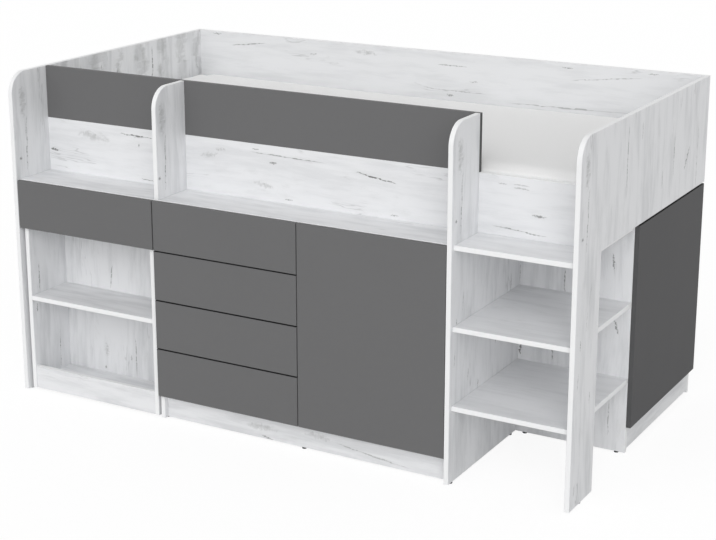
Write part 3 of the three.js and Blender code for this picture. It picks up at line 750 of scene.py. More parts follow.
@dataclass(frozen=True)
class Surface:
    """Grid of points, each at a row and a column; a grid may close on itself either way."""

    points: np.ndarray
    closed_rows: bool = False
    closed_columns: bool = False

    def quads(self) -> np.ndarray:
        """Numbers of the corners of every face.

        Returns:
            Array of four corner numbers a face.
        """
        rows, columns = self.points.shape[:2]
        index = np.arange(rows * columns).reshape(rows, columns)
        if self.closed_rows:
            index = np.vstack([index, index[:1]])
        if self.closed_columns:
            index = np.hstack([index, index[:, :1]])
        corners = (index[:-1, :-1], index[:-1, 1:], index[1:, 1:], index[1:, :-1])
        return np.stack(corners, axis=-1).reshape(-1, 4)

    def seated(self, origin: Point, facing: Point) -> "Surface":
        """The surface with its +Z turned to a direction and its origin moved to a place."""
        turn = np.array(Vector(facing).to_track_quat("Z", "Y").to_matrix())
        return replace(self, points=self.points @ turn.T + np.array(origin))


def turned(radius: np.ndarray, height: np.ndarray) -> Surface:
    """Surface round +Z: each column has its angle, and each row its height.

    Args:
        radius: distance of each point from the axis, by row and column.
        height: height of each row.

    Returns:
        The surface.
    """
    angle = np.linspace(0.0, math.tau, radius.shape[1], endpoint=False)
    level = np.broadcast_to(height[:, None], radius.shape)
    points = np.stack([radius * np.cos(angle), radius * np.sin(angle), level], axis=-1)
    return Surface(points, closed_columns=True)


def tube(path: np.ndarray, radius: float, sides: int = 10) -> Surface:
    """Sweeps a circle along a closed level path.

    Each row stands at one point of the path, square to it: out to the side by the cosine of the
    angle and up by its sine.

    Args:
        path: points of the path.
        radius: radius of the circle.
        sides: points round it.

    Returns:
        The surface.
    """
    along = np.roll(path, -1, axis=0) - np.roll(path, 1, axis=0)
    along /= np.linalg.norm(along, axis=1, keepdims=True)
    side = np.stack([along[:, 1], -along[:, 0], np.zeros(len(path))], axis=-1)
    angle = np.linspace(0.0, math.tau, sides, endpoint=False)
    out = np.cos(angle)[None, :, None] * side[:, None, :]
    up = np.sin(angle)[None, :, None] * np.array([0.0, 0.0, 1.0])
    return Surface(path[:, None, :] + radius * (out + up), True, True)


def mesh_of(name: str, surfaces: list[Surface], sharp_angle: float) -> bpy.types.Mesh:
    """Joins surfaces into one smooth-shaded mesh.

    Args:
        name: name of the mesh.
        surfaces: the surfaces.
        sharp_angle: edges that bend more than this stay sharp, in degrees.

    Returns:
        The mesh, with points that coincide merged and its faces turned outwards.
    """
    starts = np.cumsum([0] + [s.points.shape[0] * s.points.shape[1] for s in surfaces[:-1]])
    points = np.concatenate([s.points.reshape(-1, 3) for s in surfaces])
    quads = np.concatenate([s.quads() + start for s, start in zip(surfaces, starts)])
    mesh = bpy.data.meshes.new(name)
    mesh.from_pydata(points.tolist(), [], quads.tolist())
    work = bmesh.new()
    work.from_mesh(mesh)
    bmesh.ops.remove_doubles(work, verts=work.verts, dist=MERGE_GAP)
    bmesh.ops.recalc_face_normals(work, faces=work.faces)
    work.to_mesh(mesh)
    work.free()
    mesh.polygons.foreach_set("use_smooth", np.ones(len(mesh.polygons), dtype=bool))
    mesh.set_sharp_from_angle(angle=math.radians(sharp_angle))
    return mesh


def linked(name: str, data: bpy.types.ID) -> bpy.types.Object:
    """Adds an object to the scene.

    Args:
        name: its name.
        data: its mesh, light or camera.

    Returns:
        The object.
    """
    thing = bpy.data.objects.new(name, data)
    bpy.context.scene.collection.objects.link(thing)
    return thing


def add_piece(
    name: str,
    surfaces: list[Surface],
    body: str,
    finish: Finish,
    sharp_angle: float = 40.0,
) -> bpy.types.Object:
    """Adds a new piece to the object.

    Args:
        name: name of the piece.
        surfaces: its surfaces, at their places in the frame.
        body: the body it rides on.
        finish: the finish.
        sharp_angle: edges that bend more than this stay sharp, in degrees.

    Returns:
        The piece.
    """
    mesh = mesh_of(name, surfaces, sharp_angle)
    piece = linked(name, mesh)
    mesh.materials.append(finish.material(f"{name}_finish"))
    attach(piece, body)
    log.info("%s rides on %s", name, body)
    return piece


def add_fixings(name: str, surfaces: list[Surface], body: str = BED) -> None:
    """Adds nickel-plated fixings as one new piece on a body."""
    add_piece(name, surfaces, body, NICKEL)


def middle_height(node: str) -> float:
    """Height of the middle of a CAD node."""
    low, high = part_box(node)
    return (low[2] + high[2]) / 2


# Fixings


@dataclass(frozen=True)
class CrossHead:
    """Round head with a cross recess, seen from above its seat."""

    radius: float
    crown: float
    rim: float
    arm_half: float
    arm_length: float
    depth: float
    columns: int = 32

    def surface(self) -> Surface:
        """Head over a polar grid.

        The height falls from the rim plus the crown at the centre to the rim at the edge as a
        parabola of the radius, less a recess where either arm of the cross is near.

        Returns:
            The surface, with a last row at its seat.
        """
        share = np.array([0.0, 0.14, 0.3, 0.46, 0.6, 0.74, 0.88, 1.0])
        angle = np.linspace(0.0, math.tau, self.columns, endpoint=False)
        x = self.radius * share[:, None] * np.cos(angle)[None]
        y = self.radius * share[:, None] * np.sin(angle)[None]
        dome = self.rim + self.crown * (1.0 - share**2)[:, None] * np.ones_like(x)
        nearest = np.minimum(np.abs(x), np.abs(y))
        inside = (nearest < self.arm_half) & (np.hypot(x, y) < self.arm_length)
        top = np.stack([x, y, dome - self.depth * inside], axis=-1)
        seat = top[-1:] * np.array([1.0, 1.0, 0.0])
        return Surface(np.concatenate([top, seat]), closed_columns=True)

    def row(self, places: list[Point], facing: Point) -> list[Surface]:
        """The same head at several seats, all facing one way."""
        return [self.surface().seated(place, facing) for place in places]


WOOD_SCREW = CrossHead(
    radius=0.0042, crown=0.0012, rim=0.0005, arm_half=0.0007, arm_length=0.0026, depth=0.001
)
CAM_DISC = CrossHead(
    radius=0.0075, crown=0.0, rim=0.0004, arm_half=0.0011, arm_length=0.0045, depth=0.0012
)


@dataclass(frozen=True)
class HingeCup:
    """Pressed steel cup in a door's bore, with wings for two screws beside it."""

    radius: float = 0.0173
    depth: float = 0.0113
    collar: float = 0.019
    wing_half_length: float = 0.027
    wing_half_width: float = 0.0075
    sheet: float = 0.0009
    screw_offset: float = 0.0215
    columns: int = 64

    def surface(self) -> Surface:
        """Cup and flange over a polar grid.

        The flange's outline is the larger of the collar's circle and a squarish oval that reaches
        out to the screws, at every angle.

        Returns:
            The surface, with +Z out of the door and +Y along the wings.
        """
        angle = np.linspace(0.0, math.tau, self.columns, endpoint=False)
        across = np.abs(np.cos(angle) / self.wing_half_width) ** 4
        along = np.abs(np.sin(angle) / self.wing_half_length) ** 4
        outline = np.maximum(self.collar, (across + along) ** -0.25)
        bend = self.sheet / 2
        circle = np.ones_like(angle)
        rows = [
            (0.0 * circle, -self.depth),
            ((self.radius - 2 * bend) * circle, -self.depth),
            (self.radius * circle, bend - self.depth),
            (self.radius * circle, bend),
            ((self.radius + bend) * circle, self.sheet),
            (outline - bend, self.sheet),
            (outline, bend),
            (outline, 0.0),
        ]
        radius, height = zip(*rows)
        return turned(np.stack(radius), np.array(height))

    def pieces(self, centre: Point, facing: Point) -> list[Surface]:
        """Cup, flange and screws at one bore.

        Args:
            centre: middle of the bore's mouth.
            facing: out of the door's back.

        Returns:
            The surfaces.
        """
        x, y, z = np.array(centre) + np.array(facing) * self.sheet
        seats = [(x, y, z + up) for up in (-self.screw_offset, self.screw_offset)]
        return [self.surface().seated(centre, facing), *WOOD_SCREW.row(seats, facing)]


@dataclass(frozen=True)
class ShelfPin:
    """Pin with a collar in a panel's side, under a shelf."""

    pin: float = 0.0025
    reach: float = 0.0085
    collar: float = 0.0045
    collar_width: float = 0.0015
    round_off: float = 0.0006
    columns: int = 20

    def surface(self) -> Surface:
        """Profile of the pin turned about its axis.

        Returns:
            The surface, with +Z out of the panel.
        """
        profile = [
            (self.collar, 0.0),
            (self.collar, self.collar_width - self.round_off),
            (self.collar - self.round_off, self.collar_width),
            (self.pin, self.collar_width),
            (self.pin, self.reach - self.round_off),
            (self.pin - self.round_off, self.reach),
            (0.0, self.reach),
        ]
        radius, height = np.array(profile).T
        return turned(np.outer(radius, np.ones(self.columns)), height)

    def under(self, shelf: str, across: Axis, inset: float) -> list[Surface]:
        """Four pins under a shelf, two in the panel at each of its ends.

        Args:
            shelf: the shelf's node.
            across: X or Y, the axis along which the pins point.
            inset: from the shelf's front and back to the pins.

        Returns:
            One surface a pin.
        """
        low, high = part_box(shelf)
        beside = Y if across is X else X
        pins = []
        for spot in (low[beside.value] + inset, high[beside.value] - inset):
            for end, way in ((low, 1.0), (high, -1.0)):
                place, facing = [0.0, 0.0, low[Z.value] - self.pin], [0.0, 0.0, 0.0]
                place[across.value], place[beside.value] = end[across.value], spot
                facing[across.value] = way
                pins.append(self.surface().seated(tuple(place), tuple(facing)))
        return pins


# The object


class SubAssembly(ABC):
    """Group of pieces that belong together."""

    @abstractmethod
    def build(self) -> None:
        """Dresses the group's CAD nodes and adds its new pieces."""


@dataclass
class BedFrame(SubAssembly):
    """Uprights, rails, back board, ledge, treads, slats and their fixings."""

    cam_inset: float = 0.034
    cam_depths: tuple[float, float] = (-0.5, -0.1)
    upright_marks: tuple[Mark, ...] = streaks(
        (STAIN, 955, -505, 1070, -507, 44), (STAIN, 990, -507, 1055, -509, 22),
        (SPLIT, 775, -497, 925, -491, 9), (KNOT, 818, -527, 830, -527, 22),
        (FLECK, 893, -498, 964, -491, 8), (SPLIT, 489, -514, 524, -514, 7),
        (FLECK, 371, -527, 427, -521, 7), (FLECK, 535, -474, 600, -470, 6),
        (SPLIT, 105, -234, 131, -234, 7), (SPLIT, 252, -358, 284, -357, 8),
        (FLECK, 300, -429, 342, -428, 8), (SPLIT, 894, -196, 1096, -193, 8),
        (FLECK, 1022, -76, 1078, -74, 10), (FLECK, 825, 122, 889, 121, 10),
        (SPLIT, 843, 224, 980, 226, 8), (SPLIT, 843, 332, 915, 379, 15),
        (FLECK, 748, 458, 983, 460, 9), (SPLIT, 500, -130, 560, -126, 7),
        (SPLIT, 360, -236, 410, -232, 9),
    )
    # Print marks inside the left end panel: a knot, a split and soft stains, which over its upper
    # part are partly painted shade.
    left_end_marks_and_shade: tuple[Mark, ...] = streaks(
        (STAIN, 870, -270, 1180, -262, 80), (STAIN, 920, -100, 1200, -104, 120),
        (STAIN, 930, 20, 1120, 26, 70), (KNOT, 990, 12, 1050, 18, 16),
        (STAIN, 900, 150, 1220, 155, 110), (SPLIT, 960, 205, 1100, 212, 16),
        (STAIN, 900, 290, 1240, 286, 100), (STAIN, 900, 400, 1240, 404, 130),
        (STAIN, 920, 510, 1260, 512, 110),
    )
    rail_marks: tuple[Mark, ...] = streaks(
        (KNOT, -998, 830, -963, 827, 12), (CRACK, -997, 830, -965, 827, 9),
        (STAIN, -880, 900, -740, 884, 40), (CRACK, -700, 915, -560, 911, 7),
        (FLECK, -645, 911, -605, 910, 10), (KNOT, -624, 881, -617, 881, 18),
        (SPLIT, -615, 768, -563, 766, 6), (STAIN, -375, 880, -300, 888, 22),
        (STAIN, -315, 905, -272, 905, 18), (STAIN, -170, 815, -90, 803, 24),
        (KNOT, -108, 884, -78, 882, 12), (SPLIT, -185, 911, 107, 904, 6),
        (SPLIT, -172, 922, -144, 920, 6), (CRACK, 206, 890, 353, 870, 8),
        (SPLIT, -51, 770, -20, 770, 7), (SPLIT, 330, 769, 360, 769, 7),
        (KNOT, 799, 831, 848, 829, 13), (FLECK, 690, 914, 720, 914, 7),
        (FLECK, 739, 907, 792, 905, 8), (FLECK, 739, 917, 792, 915, 6),
        (SPLIT, 672, 785, 854, 770, 7),
    )
    back_marks: tuple[Mark, ...] = streaks(
        (SPLIT, -945, 1108, -903, 1108, 8), (SPLIT, -862, 1069, -703, 1087, 7),
        (FLECK, -510, 1064, -478, 1064, 10), (FLECK, 150, 1019, 184, 1019, 9),
        (SPLIT, 500, 1100, 544, 1100, 6), (FLECK, 810, 1105, 852, 1105, 7),
        (STAIN, -320, 1088, -220, 1088, 26), (SPLIT, 22, 1070, 143, 1070, 6),
        (FLECK, -40, 982, 223, 978, 8), (FLECK, 534, 1059, 798, 1088, 8),
        (KNOT, 60, 963, 90, 963, 12), (FLECK, 302, 957, 769, 964, 10),
    )

    def build(self) -> None:
        """Dresses the frame and adds the cam discs under its boards."""
        self.uprights()
        self.long_boards()
        dress(Pine(Y), "slatted_base")
        self.cams()

    def uprights(self) -> None:
        """Panels that are cut from the same print, with the grain upright."""
        cut = CraftOak(Z, X, 1.0, self.upright_marks, GLIDE_TOP)
        dress(cut, "step_panel", "short_upright")
        end = replace(cut, glides=PALE_GLIDE)
        dress(end, "right_end_panel")
        marks = self.upright_marks + self.left_end_marks_and_shade
        # Painted shade: the left end panel gets these stains and an even darkening of its print.
        dress(replace(end, marks=marks, painted_shade_wash=0.08), "left_end_panel")
        dress(replace(cut, seed=2.6, marks=()), "desk_bay_panel", "cupboard_divider")

    def long_boards(self) -> None:
        """Rails, back board, ledge and the three treads, with the grain along the bed."""
        dress(CraftOak(X, Y, 4.0, self.rail_marks, figure=0.6), "front_rail")
        # Painted shade: the guard rail's end faces, which look along X, get a darker grey.
        dress(replace(GRAPHITE, edge_shade=PAINTED_END_SHADE, edge_shade_facing=X), "guard_rail")
        # Painted shade: the back board's print is darkened evenly, standing in for the shade it
        # lies in.
        dress(CraftOak(X, Y, 7.5, self.back_marks, figure=0.6, painted_shade_wash=0.1), "back_board")
        dress(CraftOak(X, Z, 9.2), "ledge_board")
        for seed, node in ((11.0, "tread_top"), (12.4, "tread_middle"), (13.7, "tread_low")):
            dress(CraftOak(X, Z, seed, figure=0.6), node)

    def cams(self) -> None:
        """Cam discs in the undersides of the treads and the ledge, near their ends."""
        places = []
        for node in ("tread_top", "tread_middle", "tread_low", "ledge_board"):
            low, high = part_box(node)
            ends = (low[0] + self.cam_inset, high[0] - self.cam_inset)
            places += [(x, y, low[2]) for x in ends for y in self.cam_depths]
        add_fixings("frame_cams", CAM_DISC.row(places, (0.0, 0.0, -1.0)))


@dataclass
class DrawerCabinet(SubAssembly):
    """Bay of drawers and cupboard under the ledge."""

    drawers: int = 4
    pin_inset: float = 0.04
    plinth_marks: tuple[Mark, ...] = streaks(
        (SPLIT, -60, 14, -15, 8, 10), (FLECK, 215, 45, 420, 20, 8), (FLECK, 330, 30, 480, 14, 6),
        (STAIN, -120, 45, 10, 40, 35), (STAIN, 100, 58, 200, 50, 30),
    )

    def build(self) -> None:
        """Dresses the carcass, the drawers and the cupboard, and adds the shelf's pins."""
        dress(CraftOak(X, Y, 15.1, self.plinth_marks, GLIDE_TOP), "cabinet_plinth")
        dress(CraftOak(X, Z, 16.3), "drawer_bay_floor", "cupboard_floor", "cupboard_shelf")
        dress(BACKING, "cabinet_back")
        for number in range(1, self.drawers + 1):
            # Painted shadow: drawers 2 to 4 get near-black top and bottom edges, standing in for
            # the shade in the gaps between fronts.
            edge_shade = PAINTED_GAP_SHADOW if number > 1 else None
            dress(replace(GRAPHITE, edge_shade=edge_shade), f"drawer_{number}_front")
            dress(CraftOak(Y, X, 17.0 + number), f"drawer_{number}_box")
        add_fixings("cupboard_shelf_pins", ShelfPin().under("cupboard_shelf", X, self.pin_inset))


@dataclass
class EndCupboard(SubAssembly):
    """Cupboard under the foot of the bed, opened from the end."""

    pin_inset: float = 0.05
    shelves: tuple[str, str] = ("end_cupboard_shelf_1", "end_cupboard_shelf_2")
    front_marks: tuple[Mark, ...] = streaks(
        (SPLIT, 520, 626, 572, 630, 8), (SPLIT, 502, 782, 579, 781, 9),
        (SPLIT, 600, 942, 654, 937, 12), (SPLIT, 393, 966, 442, 951, 12),
        (CRACK, 270, 636, 316, 640, 14), (SPLIT, 268, 747, 318, 749, 9),
        (FLECK, 50, 945, 182, 945, 7), (FLECK, 352, 668, 420, 672, 10),
        (FLECK, 340, 860, 470, 856, 8),
    )

    def build(self) -> None:
        """Dresses the cupboard and adds the pins of its shelves."""
        dress(CraftOak(Z, Y, 21.2, self.front_marks, GLIDE_TOP), "end_cupboard_front")
        dress(CraftOak(Z, Y, 22.5, glides_below=GLIDE_TOP), "end_cupboard_rear")
        dress(CraftOak(Z, X, 23.1, glides_below=GLIDE_TOP), "end_cupboard_wall")
        dress(CraftOak(X, Z, 24.4), "end_cupboard_top", "end_cupboard_floor", *self.shelves)
        dress(CraftOak(Y, X, 25.7), "end_cupboard_plinth")
        pins = [ShelfPin().under(shelf, Y, self.pin_inset) for shelf in self.shelves]
        add_fixings("end_cupboard_shelf_pins", sum(pins, []))


@dataclass
class Doors(SubAssembly):
    """Both grey doors, their hinge arms and the cups in their bores."""

    levels: tuple[str, str] = ("lower", "upper")
    cup_inset: float = 0.022
    wing_inset: float = 0.022
    wing_sheet: float = 0.002
    wing_rise: float = 0.017

    def build(self) -> None:
        """Dresses the doors and adds the hinge cups and the screws of the hinge arms."""
        dress(GRAPHITE, "cupboard_door")
        # Painted shade: the end door gets the darker graphite copy, and near-black top and bottom
        # edges as painted shadow in its gaps.
        dress(replace(GRAPHITE_PAINTED_SHADE, edge_shade=PAINTED_GAP_SHADOW), "end_cupboard_door")
        dress(NICKEL, "cupboard_hinge_lower", "cupboard_hinge_upper")
        dress(NICKEL, "end_cupboard_hinge_lower", "end_cupboard_hinge_upper")
        _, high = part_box("cupboard_door")
        self.add_cups("cupboard", (high[0] - self.cup_inset, high[1]), (0.0, 1.0, 0.0))
        low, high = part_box("end_cupboard_door")
        self.add_cups("end_cupboard", (low[0], high[1] - self.cup_inset), (-1.0, 0.0, 0.0))
        self.add_wing_screws()

    def add_cups(self, carcass: str, bore: tuple[float, float], facing: Point) -> None:
        """Adds one door's two hinge cups, level with its hinge arms.

        Args:
            carcass: how the names of the door and its hinges begin.
            bore: where both bores are, along X and Y.
            facing: out of the door's back.
        """
        cups = []
        for level in self.levels:
            height = middle_height(f"{carcass}_hinge_{level}")
            cups += HingeCup().pieces((*bore, height), facing)
        add_fixings(f"{carcass}_door_hinge_cups", cups, f"{carcass}_door")

    def add_wing_screws(self) -> None:
        """Adds the two screws through the wing of each hinge arm."""
        heads = []
        for level in self.levels:
            middle = middle_height(f"cupboard_hinge_{level}")
            ups = (middle - self.wing_rise, middle + self.wing_rise)
            low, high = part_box(f"cupboard_hinge_{level}")
            side, back = high[0] - self.wing_sheet, high[1] - self.wing_inset
            heads += WOOD_SCREW.row([(side, back, z) for z in ups], (-1.0, 0.0, 0.0))
            low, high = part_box(f"end_cupboard_hinge_{level}")
            side, back = low[0] + self.wing_inset, high[1] - self.wing_sheet
            heads += WOOD_SCREW.row([(side, back, z) for z in ups], (0.0, -1.0, 0.0))
        add_fixings("hinge_arm_screws", heads)


@dataclass
class PullOutDesk(SubAssembly):
    """Desk that rolls out from under the bed."""

    castors: tuple[str, ...] = ("front_left", "front_right", "rear_left", "rear_right")
    hub_share: float = 0.72
    screw_inset: float = 0.006
    plate: float = 0.0025
    back_marks: tuple[Mark, ...] = streaks(
        (SPLIT, 350, -785, 438, -773, 7), (STAIN, 95, -811, 150, -811, 26),
        (SPLIT, 41, -684, 188, -684, 6), (FLECK, 98, -705, 120, -705, 10),
        (KNOT, 48, -819, 62, -819, 10),
    )
    side_marks: tuple[Mark, ...] = streaks(
        (SPLIT, 354, -498, 450, -496, 8), (SPLIT, 43, -405, 189, -403, 8),
        (SPLIT, 280, -515, 312, -515, 10),
    )

    def build(self) -> None:
        """Dresses the desk and adds the screws of its castors."""
        dress(GRAPHITE, "desk_fascia")
        dress(CraftOak(Z, X, 31.3, self.side_marks), "desk_left_side", "desk_right_side")
        dress(CraftOak(Z, Y, 32.8, self.back_marks), "desk_back")
        dress(CraftOak(Z, Y, 33.9), "desk_rear_leg")
        dress(CraftOak(X, Z, 34.6), "desk_shelf", "desk_floor")
        dress(CraftOak(X, Y, 35.2), "desk_plinth")
        dress(CraftOak(Y, Z, 36.7), "desk_top")
        dress(CraftOak(Y, X, 37.5), "desk_stretcher")
        screws = []
        for castor in self.castors:
            dress(NICKEL, f"castor_{castor}_bracket")
            self.wheel(f"castor_{castor}_wheel")
            screws += self.screws(f"castor_{castor}_bracket", castor.startswith("front"))
        add_fixings("castor_screws", screws, DESK)

    def wheel(self, node: str) -> None:
        """Gives a wheel a hard hub and a softer tread.

        Args:
            node: the wheel's node.
        """
        low, high = (np.array(corner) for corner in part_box(node))
        _, *axle = (low + high) / 2
        dress(Moulding(self.hub_share * (high[2] - low[2]) / 2, tuple(axle)), node)

    def screws(self, node: str, faces_back: bool) -> list[Surface]:
        """Four screws at the corners of a castor's plate.

        Args:
            node: the bracket's node.
            faces_back: whether the plate looks to the back of the bed.

        Returns:
            One surface a screw.
        """
        low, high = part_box(node)
        side = 1.0 if faces_back else -1.0
        face = low[1] + self.plate if faces_back else high[1] - self.plate
        columns = (low[0] + self.screw_inset, high[0] - self.screw_inset)
        levels = (low[2] + self.screw_inset, high[2] - self.screw_inset)
        places = [(x, face, z) for x in columns for z in levels]
        return WOOD_SCREW.row(places, (0.0, side, 0.0))


@dataclass
class Mattress(SubAssembly):
    """Foam mattress in a knitted cover with a welt along both edges."""

    centre: tuple[float, float] = (0.0, 0.088)
    half_size: tuple[float, float] = (0.995, 0.442)
    foot: float = 0.838
    top: float = 0.9525
    corner: float = 0.055
    corner_points: int = 7
    edge_round: float = 0.014
    edge_points: int = 4
    seam_inset: float = 0.034
    quad: float = 0.02
    pressure: float = 4.0
    frames: int = 20
    top_travel: float = 0.007
    side_travel: float = 0.003
    welt_radius: float = 0.0032
    fill: float = 0.9
    smooth: float = 180.0

    def build(self) -> None:
        """Fills the cover, then adds the welts along its edges."""
        piece = self.sewn("mattress_cover", self.case())
        self.inflate(piece)
        finer = piece.modifiers.new("smooth", "SUBSURF")
        finer.levels = finer.render_levels = 1
        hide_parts("mattress")
        for level, height in zip(("upper", "lower"), self.seams()):
            path = self.outline(np.array([-self.welt_radius / 2]), np.array([height]))[0]
            self.sewn(f"mattress_welt_{level}", tube(path, self.welt_radius))

    def sewn(self, name: str, surface: Surface) -> bpy.types.Object:
        """Adds a piece of the cover's cloth, smooth all over."""
        return add_piece(name, [surface], BED, KnitCover(), self.smooth)

    def seams(self) -> tuple[float, float]:
        """Heights of the upper and the lower seam."""
        return self.top - self.seam_inset, self.foot + self.seam_inset

    def outline(self, inset: np.ndarray, height: np.ndarray) -> np.ndarray:
        """Rounded rectangles, one a row.

        Each side keeps its own count of points at every inset, in equal shares of its length, so
        that a quad stays a quad down to the middle line.

        Args:
            inset: how far each row is inside the outer outline.
            height: height of each row.

        Returns:
            Points by row, column and part.
        """
        radius = np.maximum(self.corner - inset, 0.0)[:, None]
        flats, shares = [], []
        for half in self.half_size:
            flat = half - self.corner - np.maximum(inset - self.corner, 0.0)
            flats.append(np.maximum(flat, 0.0)[:, None])
            shares.append(np.linspace(-1.0, 1.0, 2 * round(half / self.quad) + 1)[None, 1:-1])
        flat_x, flat_y = flats
        share_x, share_y = -shares[0], shares[1]
        turns = np.linspace(0.0, math.pi / 2, self.corner_points)[None, :]
        cos, sin = radius * np.cos(turns), radius * np.sin(turns)
        reach_x = (flat_x + radius) * np.ones_like(share_y)
        reach_y = (flat_y + radius) * np.ones_like(share_x)
        half_turn = (
            [reach_x, flat_x + cos, share_x * flat_x, -flat_x - sin],
            [share_y * flat_y, flat_y + sin, reach_y, flat_y + cos],
        )
        x, y = (np.concatenate([*parts, *(-part for part in parts)], axis=1) for parts in half_turn)
        z = np.broadcast_to(height[:, None], x.shape)
        return np.stack([x + self.centre[0], y + self.centre[1], z], axis=-1)

    def case(self) -> Surface:
        """Closed case: rings from the middle of the foot, up the side, to the middle of the top.

        The lower and the upper edge are quarter circles, and the side has a ring at each seam.

        Returns:
            The surface.
        """
        half_y = self.half_size[1]
        bend = np.linspace(0.0, math.pi / 2, self.edge_points)
        lower_in = self.edge_round * (1.0 - np.sin(bend))
        lower_up = self.foot + self.edge_round * (1.0 - np.cos(bend))
        level = np.linspace(half_y, self.edge_round, round(half_y / self.quad))[:-1]
        upper_seam, lower_seam = self.seams()
        low_side = np.linspace(lower_up[-1], lower_seam, 3)[1:]
        side = np.concatenate([low_side, np.linspace(lower_seam, upper_seam, 5)[1:]])
        side = np.append(side, (upper_seam + self.top - self.edge_round) / 2)
        inset = np.concatenate([level, lower_in, 0.0 * side, lower_in[::-1], level[::-1]])
        upper_up = self.top + self.foot - lower_up[::-1]
        foot, top = np.full(len(level), self.foot), np.full(len(level), self.top)
        height = np.concatenate([foot, lower_up, side, upper_up, top])
        return Surface(self.outline(inset, height), closed_columns=True)

    def inflate(self, piece: bpy.types.Object) -> None:
        """Lets the filling press the cover outwards, held along both welts, and keeps the result.

        A point moves by the simulated way w, eased to at most a cap c as c tanh(w / c), and never
        below the slats.

        Args:
            piece: the cover.
        """
        rest = np.empty(3 * len(piece.data.vertices), dtype=np.float32)
        piece.data.vertices.foreach_get("co", rest)
        rest = rest.reshape(-1, 3)
        held = np.any([np.abs(rest[:, 2] - seam) < SEAM_GAP for seam in self.seams()], axis=0)
        pins = piece.vertex_groups.new(name="welts")
        pins.add(np.flatnonzero(held).tolist(), 1.0, "REPLACE")
        cloth = piece.modifiers.new("filling", "CLOTH")
        settings = cloth.settings
        settings.quality = 6
        settings.mass = 0.4
        settings.tension_stiffness = 40.0
        settings.compression_stiffness = 40.0
        settings.bending_stiffness = 4.0
        settings.vertex_group_mass = pins.name
        settings.use_pressure = True
        settings.uniform_pressure_force = self.pressure
        settings.effector_weights.gravity = 0.0
        cloth.collision_settings.use_collision = False
        cloth.point_cache.frame_start = 1
        cloth.point_cache.frame_end = self.frames
        scene = bpy.context.scene
        for number in range(1, self.frames + 1):
            scene.frame_set(number)
        shaped = piece.evaluated_get(bpy.context.evaluated_depsgraph_get()).to_mesh()
        moved = np.empty(rest.size, dtype=np.float32)
        shaped.vertices.foreach_get("co", moved)
        piece.evaluated_get(bpy.context.evaluated_depsgraph_get()).to_mesh_clear()
        piece.modifiers.remove(cloth)
        piece.vertex_groups.clear()
        scene.frame_set(1)
        way = moved.reshape(-1, 3) - rest
        caps = np.array([self.side_travel, self.side_travel, self.top_travel])
        log.info("cover moved up to %s m before the cap", np.abs(way).max(axis=0))
        eased = rest + caps * np.tanh(way / caps)
        eased[:, 2] = np.maximum(eased[:, 2], self.foot)
        piece.data.vertices.foreach_set("co", eased.astype(np.float32).ravel())
        piece.data.update()


# Studio


def tilted(down: float, turn: float) -> Point:
    """Rotation of a lamp or camera that looks down and is turned round +Z, by degrees."""
    return math.radians(90.0 - down), 0.0, math.radians(turn)


@dataclass(frozen=True)
class Lamp:
    """Wide soft lamp, far away; its azimuth is 0 in front of the bed and grows to the right."""

    name: str
    strength: float
    azimuth: float
    elevation: float
    spread: float

    def build(self) -> None:
        """Adds the lamp."""
        light = bpy.data.lights.new(self.name, "SUN")
        light.energy = self.strength
        light.angle = math.radians(self.spread)
        linked(self.name, light).rotation_euler = tilted(self.elevation, self.azimuth)


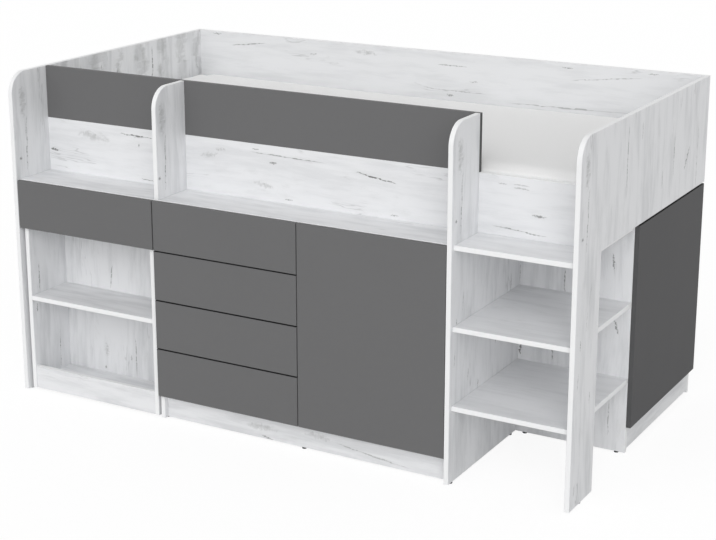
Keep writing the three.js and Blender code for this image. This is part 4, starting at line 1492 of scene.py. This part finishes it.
@dataclass
class Studio:
    """Pale floor, white surround, two wide soft lamps and the camera."""

    floor_half: float = 30.0
    floor_bounce: float = 0.84
    floor_glow: float = 0.885
    floor_shade: float = 0.15
    surround: float = 0.52
    lamps: tuple[Lamp, ...] = (
        Lamp("key_lamp", strength=0.42, azimuth=-15.0, elevation=40.0, spread=50.0),
        Lamp("fill_lamp", strength=1.1, azimuth=30.0, elevation=24.0, spread=45.0),
    )
    camera_place: Point = (2.645, -4.666, 2.088)
    camera_yaw: float = 29.53
    camera_pitch: float = 15.57
    camera_lens: float = 82.7
    camera_shift: float = -0.06
    camera_film: float = 36.0
    camera_reach: float = 200.0

    def build(self) -> None:
        """Makes the whole studio."""
        self.floor()
        self.world()
        for lamp in self.lamps:
            lamp.build()
        self.camera()

    def floor(self) -> None:
        """Flat floor that shows white to the camera and keeps the object's shadow."""
        half = self.floor_half
        corners = [(-half, -half, 0.0), (half, -half, 0.0), (half, half, 0.0), (-half, half, 0.0)]
        mesh = bpy.data.meshes.new("studio_floor")
        mesh.from_pydata(corners, [], [(0, 1, 2, 3)])
        floor = linked("studio_floor", mesh)
        material = bpy.data.materials.new("studio_floor")
        material.use_nodes = True
        tree = material.node_tree
        sheet = NodeSheet(tree)
        tree.nodes.remove(tree.nodes["Principled BSDF"])
        bounce = sheet.add("BsdfDiffuse", {"Color": (self.floor_bounce,) * 3}).outputs[0]
        shadow = sheet.add("BsdfDiffuse", {"Color": (self.floor_shade,) * 3}).outputs[0]
        glow = sheet.add("Emission", {"Color": WHITE, "Strength": self.floor_glow}).outputs[0]
        seen = sheet.add("AddShader", {0: shadow, 1: glow}).outputs[0]
        rays = sheet.add("LightPath").outputs
        surface = sheet.add("MixShader", {0: rays["Is Camera Ray"], 1: bounce, 2: seen}).outputs[0]
        sheet.feed(tree.nodes["Material Output"].inputs["Surface"], surface)
        mesh.materials.append(material)

    def world(self) -> None:
        """White surround for camera and reflections, and a plain grey light on the object."""
        world = bpy.data.worlds.new("studio_world")
        world.use_nodes = True
        bpy.context.scene.world = world
        sheet = NodeSheet(world.node_tree)
        rays = sheet.add("LightPath").outputs
        through = sheet.larger(rays["Is Camera Ray"], rays["Is Transmission Ray"])
        shown = sheet.larger(through, rays["Is Glossy Ray"])
        strength = sheet.add("MapRange", {0: shown, 3: self.surround, 4: 1.0}).outputs[0]
        background = world.node_tree.nodes["Background"]
        sheet.fill(background.inputs, {"Color": WHITE, "Strength": strength})

    def camera(self) -> None:
        """Camera at the photograph's viewing angle."""
        lens = bpy.data.cameras.new("studio_camera")
        lens.lens = self.camera_lens
        lens.sensor_width = self.camera_film
        lens.shift_y = self.camera_shift
        lens.clip_end = self.camera_reach
        camera = linked("studio_camera", lens)
        camera.location = self.camera_place
        camera.rotation_euler = tilted(self.camera_pitch, self.camera_yaw)
        bpy.context.scene.camera = camera


def main() -> None:
    """Builds the studio and the object, piece by piece."""
    logging.basicConfig(level=logging.INFO, format="%(message)s")
    bpy.context.scene.view_settings.view_transform = "Standard"
    Studio().build()
    for assembly in (BedFrame, DrawerCabinet, EndCupboard, Doors, PullOutDesk, Mattress):
        log.info("building %s", assembly.__name__)
        assembly().build()


if __name__ == "__main__":
    main()
